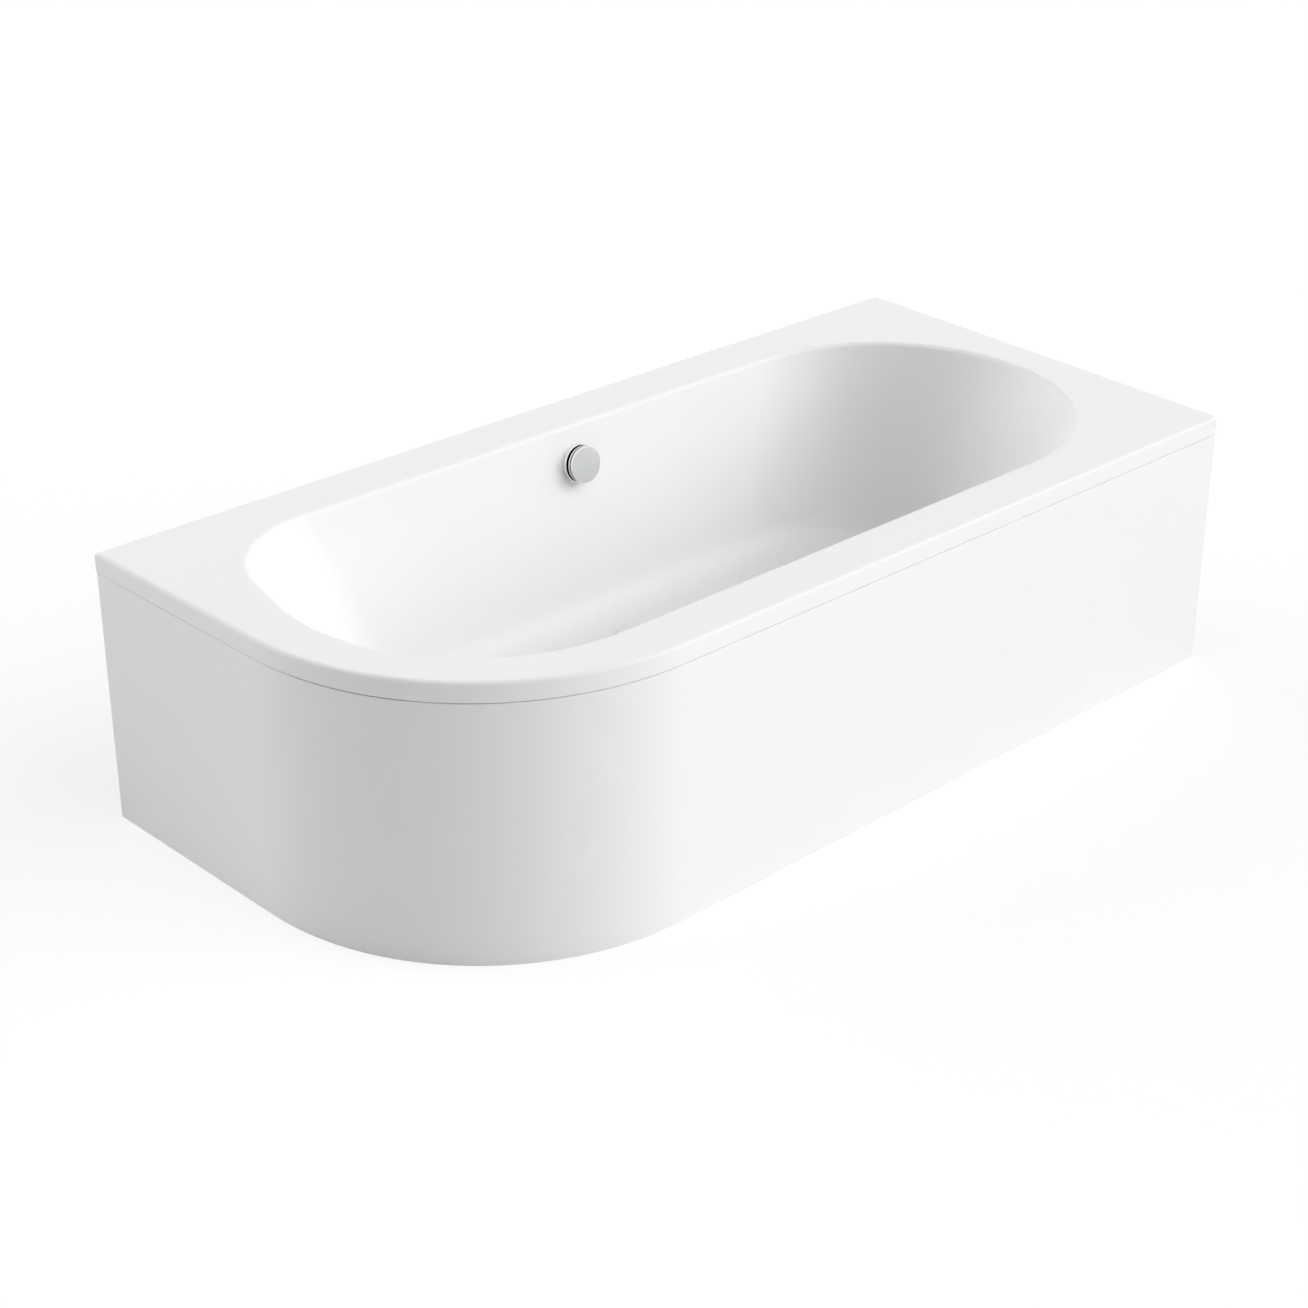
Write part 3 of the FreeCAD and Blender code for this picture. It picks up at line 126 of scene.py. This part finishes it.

# ---------------------------------------------------------------- sizes of the detail pieces
CAP_RADIUS = 0.0335
CAP_LOW = 0.0125              # heights along the knob's axis
CAP_HIGH = 0.024
CAP_WALL = 0.003              # thickness of its side
CAP_FACE = 0.003              # thickness of its face
CAP_DOME = 0.0008             # rise of the face
CAP_CHAMFER = 0.0015          # at its back, where the gap to the ring widens
CAP_BACK_BEVEL = 0.0003       # inside its back edge
CAP_BEND = 0.0016             # radius of the soft edge between side and face
CAP_BEND_END = 83.0           # degrees, where that edge runs into the face
CAP_BEND_STEPS = 6
CAP_DOME_STEPS = 12
CAP_SIDES = 128
CAP_FOLD = 40.0               # degrees, sharper folds stay sharp
GROOVE_LOW = 0.0168
GROOVE_HIGH = 0.0198
GROOVE_DEPTH = 0.0018
GROOVE_BEVEL = 0.0002
GROOVE_SLOPE = 0.0001         # how much narrower the groove is at its bottom, on each side
STUD_RADIUS = 0.006
STUD_SIDES = 20
THREAD_PITCH = 0.00175
THREAD_DEPTH = 0.0009
THREAD_SHARES = (0.0, 0.30, 0.5, 0.80)     # places of the rings of points within a turn
THREAD_FADE = 1.2             # turns over which the thread rises at either end
THREAD_FOLD = 50.0            # degrees, sharper folds stay sharp
FLANK_SLOPE = 1.6
FLANK_START = 0.3


# ---------------------------------------------------------------- node helpers
def new_material(name):
    """Material without nodes; returns it and its tree."""
    material = bpy.data.materials.new(name)
    material.use_nodes = True
    material.node_tree.nodes.clear()
    return material, material.node_tree


def to_output(tree, shader, kind="ShaderNodeOutputMaterial"):
    """Link a shader to a new output node."""
    tree.links.new(shader.outputs[0], tree.nodes.new(kind).inputs["Surface"])


def node(tree, kind, settings=None, **inputs):
    """Add a node, set its properties, and set or link its inputs.

    An input goes by its name, with underscores for spaces, or by i and its number.
    """
    made = tree.nodes.new(kind)
    for key, value in (settings or {}).items():
        setattr(made, key, value)
    for key, value in inputs.items():
        numbered = key[0] == "i" and key[1:].isdigit()
        socket = made.inputs[int(key[1:]) if numbered else key.replace("_", " ")]
        if isinstance(value, bpy.types.NodeSocket):
            tree.links.new(value, socket)
        elif socket.type == "RGBA":
            socket.default_value = (*value, 1.0)
        else:
            socket.default_value = value
    return made


def in_order(values):
    """Inputs for node() by their numbers."""
    return {f"i{i}": value for i, value in enumerate(values)}


def maths(tree, operation, *values):
    """Result socket of a Math node."""
    return node(tree, "ShaderNodeMath", {"operation": operation}, **in_order(values)).outputs[0]


def vectors(tree, operation, *values):
    """Result socket of a Vector Math node: a number from a dot product or a length, else a vector."""
    made = node(tree, "ShaderNodeVectorMath", {"operation": operation}, **in_order(values))
    return made.outputs["Value" if operation in ("DOT_PRODUCT", "LENGTH") else "Vector"]


def height_of(tree, vector):
    """Socket of a vector's Z."""
    return node(tree, "ShaderNodeSeparateXYZ", i0=vector).outputs["Z"]


def ramp(tree, factor, stops):
    """Colour socket of a ramp through (position, colour) stops."""
    made = node(tree, "ShaderNodeValToRGB", i0=factor)
    elements = made.color_ramp.elements
    while len(elements) < len(stops):
        elements.new(0.5)
    for element, (position, colour) in zip(elements, stops):
        element.position = position
        element.color = (*colour, 1.0)
    return made.outputs[0]


def spread(tree, factor, start, end, from_start=0.0, from_end=1.0):
    """Result socket that maps a factor to a range."""
    return node(tree, "ShaderNodeMapRange", i0=factor, i1=from_start, i2=from_end,
                i3=start, i4=end).outputs[0]


def noise(tree, place, scale, detail):
    """Factor socket of a noise texture."""
    return node(tree, "ShaderNodeTexNoise", Vector=place, Scale=scale, Detail=detail,
                Roughness=NOISE_ROUGHNESS).outputs["Fac"]


def cell_greys(tree, place, scale):
    """Socket with one random grey for each cell of a cell texture."""
    cells = node(tree, "ShaderNodeTexVoronoi", {"feature": "F1"}, Vector=place, Scale=scale,
                 Randomness=1.0)
    return node(tree, "ShaderNodeSeparateColor", i0=cells.outputs["Color"]).outputs[0]


def place_of(tree, stretch=(1.0, 1.0, 1.0)):
    """Object coordinates, stretched along the axes."""
    coordinates = tree.nodes.new("ShaderNodeTexCoord")
    return node(tree, "ShaderNodeMapping", Vector=coordinates.outputs["Object"],
                Scale=stretch).outputs[0]


def mixed(tree, factor, first, second):
    """Colour socket between two colours."""
    return node(tree, "ShaderNodeMix", {"data_type": "RGBA"}, Factor=factor,
                i6=first, i7=second).outputs[2]


def weighted(tree, first, second, share):
    """Socket of the sum of two factors, the first with a share and the second with the rest."""
    return maths(tree, "ADD", maths(tree, "MULTIPLY", first, share),
                 maths(tree, "MULTIPLY", second, 1.0 - share))


def bump(tree, height, strength, distance):
    """Normal socket of a bump."""
    return node(tree, "ShaderNodeBump", Strength=strength, Distance=distance,
                Height=height).outputs[0]


def surface(tree, colour, roughness, normal, **constants):
    """Principled shader on the output, with plain numbers set on its own sockets."""
    to_output(tree, node(tree, "ShaderNodeBsdfPrincipled", Base_Color=colour, Roughness=roughness,
                         Normal=normal, **constants))


def seen_directly(tree):
    """1 for what the camera meets, straight, in a reflection or through glass, 0 for other light."""
    path = tree.nodes.new("ShaderNodeLightPath")
    seen = maths(tree, "MAXIMUM", path.outputs["Is Camera Ray"], path.outputs["Is Glossy Ray"])
    return maths(tree, "MAXIMUM", seen, path.outputs["Is Transmission Ray"])


# ---------------------------------------------------------------- masks by place and direction
def facing_away(tree, geometry, point):
    """1 on faces that look away from a point."""
    offset = vectors(tree, "SUBTRACT", geometry.outputs["Position"], point)
    facing = vectors(tree, "DOT_PRODUCT", offset, geometry.outputs["True Normal"])
    return maths(tree, "GREATER_THAN", facing, 0.0)


def under_shell(tree):
    """1 under the shell: faces that look down and away from the basin, but not the lip's edge."""
    geometry = tree.nodes.new("ShaderNodeNewGeometry")
    position = geometry.outputs["Position"]
    outward = facing_away(tree, geometry, (0.0, 0.0, shell_high.z + ABOVE_BASIN))
    down = maths(tree, "LESS_THAN", height_of(tree, geometry.outputs["True Normal"]), TURNED_DOWN)
    size = vectors(tree, "ABSOLUTE", vectors(tree, "MULTIPLY", position, INSIDE_LIP))
    cubed = vectors(tree, "DOT_PRODUCT", vectors(tree, "MULTIPLY", size, size), size)
    at_level = maths(tree, "COMPARE", height_of(tree, position), LIP_LEVEL, LIP_BAND)
    on_lip = maths(tree, "MULTIPLY", maths(tree, "GREATER_THAN", cubed, 1.0), at_level)
    return maths(tree, "MULTIPLY", maths(tree, "MULTIPLY", outward, down),
                 maths(tree, "SUBTRACT", 1.0, on_lip))


def behind_panel(tree):
    """1 on the side of the panel that faces the cradle."""
    geometry = tree.nodes.new("ShaderNodeNewGeometry")
    outward = facing_away(tree, geometry, (*BEHIND_PANEL, shell_high.z / 2))
    return maths(tree, "SUBTRACT", 1.0, outward)


def along_knob(tree):
    """Sockets of the distance from the knob's axis and of the height along it."""
    place = tree.nodes.new("ShaderNodeTexCoord").outputs["Object"]
    offset = vectors(tree, "SUBTRACT", place, knob_centre)
    height = vectors(tree, "DOT_PRODUCT", offset, knob_axis)
    radius = vectors(tree, "LENGTH", vectors(tree, "CROSS_PRODUCT", offset, knob_axis))
    return radius, height


def hollow_of(tree, width, top):
    """1 nearer to the knob's axis than a width and below a height along it."""
    radius, height = along_knob(tree)
    return maths(tree, "MULTIPLY", maths(tree, "LESS_THAN", radius, width),
                 maths(tree, "LESS_THAN", height, top))


def ring_shade_mask(tree):
    """1 inside the overflow ring, where shade is painted."""
    return hollow_of(tree, RING_SHADE_RADIUS, RING_TOP - RING_SHADE_SETBACK)


def cap_shade_mask(tree):
    """1 under the knob and in its groove, where shade is painted."""
    return hollow_of(tree, CAP_RADIUS - CAP_SHADE_SETBACK, GROOVE_HIGH + GROOVE_SHADE_REACH)


# ---------------------------------------------------------------- materials
def strands(tree):
    """Chopped glass strands: streaks of noise that cross in every plane."""
    total = None
    for tilt, turn in STRAND_TURNS:
        coordinates = tree.nodes.new("ShaderNodeTexCoord")
        place = node(tree, "ShaderNodeMapping", {"vector_type": "TEXTURE"},
                     Vector=coordinates.outputs["Object"], Location=(tilt, turn, tilt),
                     Rotation=(0.0, tilt, turn), Scale=STRAND_SIZE).outputs[0]
        streak = spread(tree, noise(tree, place, scale=1.0, detail=1.0), 0.0, 1.0,
                        from_start=0.56, from_end=0.68)
        total = streak if total is None else maths(tree, "MAXIMUM", total, streak)
    return total


def acrylic(name, backed):
    """Polished white sanitary acrylic, backed by a glass-fibre laminate where a mask says so."""
    material, tree = new_material(name)
    place = place_of(tree)
    clean = mixed(tree, noise(tree, place, scale=2.2, detail=2.0), *ACRYLIC_SHADES)
    peel = noise(tree, place, scale=95.0, detail=2.0)
    back = backed(tree)
    fibre = strands(tree)
    colour = mixed(tree, back, clean, mixed(tree, fibre, *LAMINATE_SHADES))
    shine = spread(tree, noise(tree, place, scale=1.6, detail=0.0), *ACRYLIC_GLOSS,
                   from_start=0.3, from_end=0.7)
    roughness = node(tree, "ShaderNodeMix", {"data_type": "FLOAT"}, i0=back, i2=shine,
                     i3=spread(tree, fibre, *LAMINATE_GLOSS)).outputs[0]
    relief = maths(tree, "ADD", maths(tree, "MULTIPLY", peel, PEEL_SHARE),
                   maths(tree, "MULTIPLY", fibre, back))
    surface(tree, colour, roughness, bump(tree, relief, strength=0.35, distance=0.0006),
            IOR=1.49, Specular_IOR_Level=0.5)
    return material


def chrome(name="chrome_plate", hollow=None):
    """Mirror chrome with faint wiping marks and water spots; near-black painted shade where a mask
    says so.
    """
    material, tree = new_material(name)
    wiped = noise(tree, place_of(tree, (40.0, 160.0, 160.0)), scale=2.0, detail=4.0)
    spots = noise(tree, place_of(tree), scale=260.0, detail=1.0)
    colour = mixed(tree, wiped, *CHROME_SHADES)
    roughness = maths(tree, "ADD",
                      spread(tree, wiped, 0.03, 0.06, from_start=0.35, from_end=0.7),
                      spread(tree, spots, 0.0, 0.04, from_start=0.66, from_end=0.74))
    if hollow:
        # painted shade in the hollows and the groove, a little duller there
        painted_shade = hollow(tree)
        colour = mixed(tree, painted_shade, colour, HOLLOW_PAINTED_SHADE)
        roughness = maths(tree, "ADD", roughness, maths(tree, "MULTIPLY", painted_shade, HOLLOW_SHADE_DULLER))
    surface(tree, colour, roughness, bump(tree, wiped, strength=0.02, distance=0.0001), Metallic=1.0)
    return material


def moulded(name, colour, shade, roughness, grain):
    """Injection-moulded plastic: fine grain, slight cloudiness and scuffs."""
    material, tree = new_material(name)
    place = place_of(tree)
    cloud = noise(tree, place, scale=14.0, detail=3.0)
    streaks = noise(tree, place_of(tree, (30.0, 90.0, 60.0)), scale=3.0, detail=5.0)
    rough = maths(tree, "ADD", spread(tree, cloud, roughness - 0.05, roughness + 0.05),
                  spread(tree, streaks, 0.0, 0.12, from_start=0.6, from_end=0.75))
    relief = noise(tree, place, scale=grain, detail=2.0)
    surface(tree, mixed(tree, cloud, shade, colour), rough,
            bump(tree, relief, strength=0.25, distance=0.0002), IOR=1.5)
    return material


def galvanised():
    """Hot-dip zinc on sheet steel: large soft spangles and dull wipes."""
    material, tree = new_material("zinc_sheet")
    place = place_of(tree)
    tone = weighted(tree, cell_greys(tree, place, scale=120.0),
                    noise(tree, place, scale=9.0, detail=4.0), share=0.55)
    surface(tree, ramp(tree, tone, ZINC_STOPS), spread(tree, tone, 0.52, 0.34),
            bump(tree, tone, strength=0.12, distance=0.0003), Metallic=0.9)
    return material


def plated_steel():
    """Bright zinc plate on turned steel: fine lines round the axis and a faint warm cast in places."""
    material, tree = new_material("plated_steel")
    lines = noise(tree, place_of(tree, (60.0, 60.0, 2400.0)), scale=1.0, detail=3.0)
    cloud = noise(tree, place_of(tree), scale=40.0, detail=3.0)
    surface(tree, mixed(tree, cloud, *STEEL_SHADES), spread(tree, lines, 0.22, 0.38),
            bump(tree, lines, strength=0.10, distance=0.0001), Metallic=1.0)
    return material


def timber(name, along):
    """Planed softwood: grain lines along one axis, darker late wood and a few pores."""
    material, tree = new_material(name)
    stretch = [GRAIN_ACROSS] * 3
    stretch[along] = GRAIN_ALONG
    place = place_of(tree, stretch)
    warped = vectors(tree, "ADD", place, noise(tree, place, scale=1.1, detail=4.0))
    rings = node(tree, "ShaderNodeTexWave", {"wave_type": "RINGS", "rings_direction": "XYZ"[along]},
                 Vector=warped, Scale=0.9, Distortion=3.0, Detail=2.0).outputs["Fac"]
    fine = place_of(tree, [s * PORES_FINER for s in stretch])
    pores = noise(tree, fine, scale=1.0, detail=3.0)
    tone = weighted(tree, rings, pores, share=0.7)
    surface(tree, ramp(tree, tone, WOOD_STOPS), spread(tree, pores, 0.55, 0.72),
            bump(tree, tone, strength=0.30, distance=0.0004), IOR=1.4)
    return material


def chipboard():
    """Pressed chips under a thin, uneven coat of clear resin."""
    material, tree = new_material("chipboard_resin")
    flat = place_of(tree, (1.0, 1.6, 1.2))
    tone = weighted(tree, cell_greys(tree, flat, scale=210.0),
                    noise(tree, flat, scale=420.0, detail=2.0), share=0.65)
    resin = spread(tree, noise(tree, place_of(tree), scale=18.0, detail=3.0), 0.22, 0.55,
                   from_start=0.35, from_end=0.65)
    surface(tree, ramp(tree, tone, CHIP_STOPS), resin,
            bump(tree, tone, strength=0.25, distance=0.0003), IOR=1.5)
    return material


def floor_material():
    """Pale matt floor that the camera and reflections see as white, with the object's shadow kept."""
    material, tree = new_material("studio_floor")
    pale = mixed(tree, noise(tree, place_of(tree), scale=0.6, detail=2.0), *FLOOR_SHADES)
    matt = node(tree, "ShaderNodeBsdfDiffuse", Color=pale)
    glow = node(tree, "ShaderNodeEmission", Strength=FLOOR_WHITE)
    share = maths(tree, "MULTIPLY", seen_directly(tree), FLOOR_WHITE_SHARE)
    to_output(tree, node(tree, "ShaderNodeMixShader", i0=share, i1=matt.outputs[0],
                         i2=glow.outputs[0]))
    return material


# ---------------------------------------------------------------- mesh helpers
def piece(name, mesh_data, material, body, replaced):
    """Put a finished bmesh in the scene as a piece of the object."""
    mesh = bpy.data.meshes.new(name)
    mesh_data.to_mesh(mesh)
    mesh_data.free()
    made = bpy.data.objects.new(name, mesh)
    bpy.context.scene.collection.objects.link(made)
    made.data.materials.append(material)
    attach(made, body)
    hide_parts(*replaced)


def smooth_by_angle(mesh_data, degrees):
    """Smooth shading, with sharp edges where faces meet at more than an angle."""
    limit = math.radians(degrees)
    for face in mesh_data.faces:
        face.smooth = True
    for edge in mesh_data.edges:
        edge.smooth = len(edge.link_faces) == 2 and edge.calc_face_angle(0.0) < limit


def skin(mesh_data, rings):
    """Add the faces between each ring of points and the next."""
    for low, high in zip(rings, rings[1:]):
        for i in range(len(low)):
            after = (i + 1) % len(low)
            mesh_data.faces.new((low[i], low[after], high[after], high[i]))


def turned(mesh_data, profile, sides, at):
    """Add a surface of revolution, open at both ends, and return its rings of points.

    The profile has (radius, height) pairs about the Z of a 4x4 placement.
    """
    rings = []
    for radius, height in profile:
        ring = []
        for i in range(sides):
            angle = 2 * math.pi * i / sides
            point = Vector((radius * math.cos(angle), radius * math.sin(angle), height))
            ring.append(mesh_data.verts.new(at @ point))
        rings.append(ring)
    skin(mesh_data, rings)
    return rings


def axis_frame(origin, direction):
    """Placement whose Z points along a direction."""
    turn = direction.to_track_quat("Z", "Y").to_matrix().to_4x4()
    return Matrix.Translation(origin) @ turn


# ---------------------------------------------------------------- threaded studs
def thread_height(turns):
    """0 in the root and 1 on the crest of a rounded V thread."""
    share = turns % 1.0
    return max(0.0, min(1.0, FLANK_SLOPE * (1.0 - abs(2.0 * share - 1.0)) - FLANK_START))


def threaded_rod(mesh_data, x, y, low, length):
    """Solid upright rod with a true helical thread that fades out at both ends."""
    turns = int(length / THREAD_PITCH)
    fade_length = THREAD_FADE * THREAD_PITCH
    levels = [turn + share for turn in range(turns) for share in THREAD_SHARES] + [turns]
    rings = []
    for level in levels:
        crest = thread_height(level)
        ring = []
        for i in range(STUD_SIDES):
            angle = 2 * math.pi * i / STUD_SIDES
            height = (level + i / STUD_SIDES - 0.5) * THREAD_PITCH
            height = min(max(height, 0.0), length)
            fade = min(1.0, height / fade_length, (length - height) / fade_length)
            r = STUD_RADIUS - THREAD_DEPTH * (1.0 - crest * fade)
            point = (x + r * math.cos(angle), y + r * math.sin(angle), low + height)
            ring.append(mesh_data.verts.new(point))
        rings.append(ring)
    skin(mesh_data, rings)
    mesh_data.faces.new(list(reversed(rings[0])))
    mesh_data.faces.new(rings[-1])


def build_studs(material):
    """The five levelling studs with their threads."""
    for name in sorted(n for n in frame["nodes"] if n.startswith("foot_stud_")):
        low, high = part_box(name)
        middle = (low + high) / 2
        data = bmesh.new()
        threaded_rod(data, middle.x, middle.y, low.z, high.z - low.z)
        smooth_by_angle(data, THREAD_FOLD)
        piece(name.replace("foot_stud", "threaded_stud"), data, material,
              name.replace("stud_", ""), [name])


# ---------------------------------------------------------------- knob
def cap_profile():
    """(radius, height) of the knob's cap, from inside its hollow back over the side to the face."""
    r, low, edge = CAP_RADIUS, CAP_LOW, CAP_HIGH - CAP_DOME
    profile = [
        (r - CAP_WALL, edge - CAP_FACE),
        (r - CAP_WALL, low + CAP_BACK_BEVEL),
        (r - CAP_WALL + CAP_BACK_BEVEL, low),
        (r - CAP_CHAMFER, low),
        (r, low + CAP_CHAMFER),
        (r, GROOVE_LOW - GROOVE_BEVEL),
        (r - GROOVE_BEVEL, GROOVE_LOW),
        (r - GROOVE_DEPTH, GROOVE_LOW + GROOVE_SLOPE),
        (r - GROOVE_DEPTH, GROOVE_HIGH - GROOVE_SLOPE),
        (r - GROOVE_BEVEL, GROOVE_HIGH),
        (r, GROOVE_HIGH + GROOVE_BEVEL),
    ]
    for step in range(CAP_BEND_STEPS + 1):
        angle = math.radians(CAP_BEND_END) * step / CAP_BEND_STEPS
        profile.append((r - CAP_BEND + CAP_BEND * math.cos(angle),
                        edge - CAP_BEND + CAP_BEND * math.sin(angle)))
    radius, height = profile[-1]
    for step in range(1, CAP_DOME_STEPS):
        left = 1 - step / CAP_DOME_STEPS
        profile.append((radius * left, height + (CAP_HIGH - height) * (1 - left ** 2)))
    return profile


def build_cap(material):
    """Turned knob cap: domed face with a soft edge, a groove behind it and a hollow back."""
    profile = cap_profile()
    at = axis_frame(knob_centre, knob_axis)
    data = bmesh.new()
    rings = turned(data, profile, CAP_SIDES, at)
    centre_out = data.verts.new(at @ Vector((0, 0, CAP_HIGH)))
    centre_in = data.verts.new(at @ Vector((0, 0, profile[0][1])))
    for i in range(CAP_SIDES):
        after = (i + 1) % CAP_SIDES
        data.faces.new((rings[-1][i], rings[-1][after], centre_out))
        data.faces.new((rings[0][after], rings[0][i], centre_in))
    smooth_by_angle(data, CAP_FOLD)
    piece("knob_cap", data, material, "knob", ["overflow_knob"])


# ---------------------------------------------------------------- finish of every CAD node
def assign(by_slot, by_node):
    """Give each CAD node its own finish, or else that of its material slot."""
    slots = {row["node"]: row["material_slot"] for row in frame["record"]["subparts"]}
    for name, thing in frame["nodes"].items():
        material = by_node.get(name) or by_slot[slots[name]]
        thing.data.materials.clear()
        thing.data.materials.append(material)


# ---------------------------------------------------------------- stage, light and camera
def from_angles(azimuth, elevation):
    """Unit vector towards an azimuth, 0 at -Y and positive towards +X, and an elevation in degrees."""
    azimuth, elevation = math.radians(azimuth), math.radians(elevation)
    return Vector((math.sin(azimuth) * math.cos(elevation),
                   -math.cos(azimuth) * math.cos(elevation),
                   math.sin(elevation)))


def stage():
    """Floor, surroundings and soft lamps that show in no reflection."""
    bpy.ops.mesh.primitive_plane_add(size=2 * FLOOR_HALF, location=(0, 0, FLOOR_LEVEL))
    floor = bpy.context.object
    floor.name = "studio_floor"
    floor.data.materials.append(floor_material())

    world = bpy.data.worlds.new("surroundings")
    bpy.context.scene.world = world
    world.use_nodes = True
    tree = world.node_tree
    tree.nodes.clear()
    level = spread(tree, seen_directly(tree), AMBIENT, BACKGROUND_WHITE)
    to_output(tree, node(tree, "ShaderNodeBackground", Color=(1.0, 1.0, 1.0), Strength=level),
              "ShaderNodeOutputWorld")

    for name, azimuth, elevation, strength in SUNS:
        lamp = bpy.data.lights.new(name, "SUN")
        lamp.energy = strength
        lamp.angle = math.radians(SUN_ANGLE)
        thing = bpy.data.objects.new(name, lamp)
        bpy.context.scene.collection.objects.link(thing)
        thing.rotation_mode = "QUATERNION"
        thing.rotation_quaternion = from_angles(azimuth, elevation).to_track_quat("Z", "Y")
        thing.visible_glossy = False


def camera():
    """Camera at the photograph's place and angle."""
    data = bpy.data.cameras.new("camera")
    data.sensor_width = SENSOR
    data.lens = SENSOR * FOCAL_PIXELS / IMAGE_SIZE
    data.shift_x = (IMAGE_SIZE / 2 - CENTRE_PIXEL[0]) / IMAGE_SIZE
    data.shift_y = (CENTRE_PIXEL[1] - IMAGE_SIZE / 2) / IMAGE_SIZE
    data.clip_end = CLIP_END
    thing = bpy.data.objects.new("camera", data)
    bpy.context.scene.collection.objects.link(thing)
    thing.location = CAMERA_PLACE
    thing.rotation_mode = "QUATERNION"
    ahead = -from_angles(CAMERA_AZIMUTH, CAMERA_ELEVATION)
    thing.rotation_quaternion = ahead.to_track_quat("-Z", "Y")
    bpy.context.scene.camera = thing


# ---------------------------------------------------------------- build
finishes = {slot: moulded(*looks) for slot, looks in MOULDED.items()}
finishes.update({
    "acrylic": acrylic("white_acrylic", under_shell),
    "chrome": chrome(),
    "zinc_steel": galvanised(),
    "bright_steel": plated_steel(),
    "timber": timber("softwood_x", 0),
    "chipboard": chipboard(),
})
across = timber("softwood_y", 1)
assign(finishes, {
    "front_panel": acrylic("panel_acrylic", behind_panel),
    "rim_batten_left": across,
    "rim_batten_right": across,
    "overflow_ring": chrome("ring_chrome", ring_shade_mask),
})

build_studs(finishes["bright_steel"])
build_cap(chrome("cap_chrome", cap_shade_mask))

stage()
camera()

scene = bpy.context.scene
scene.view_settings.view_transform = "Standard"
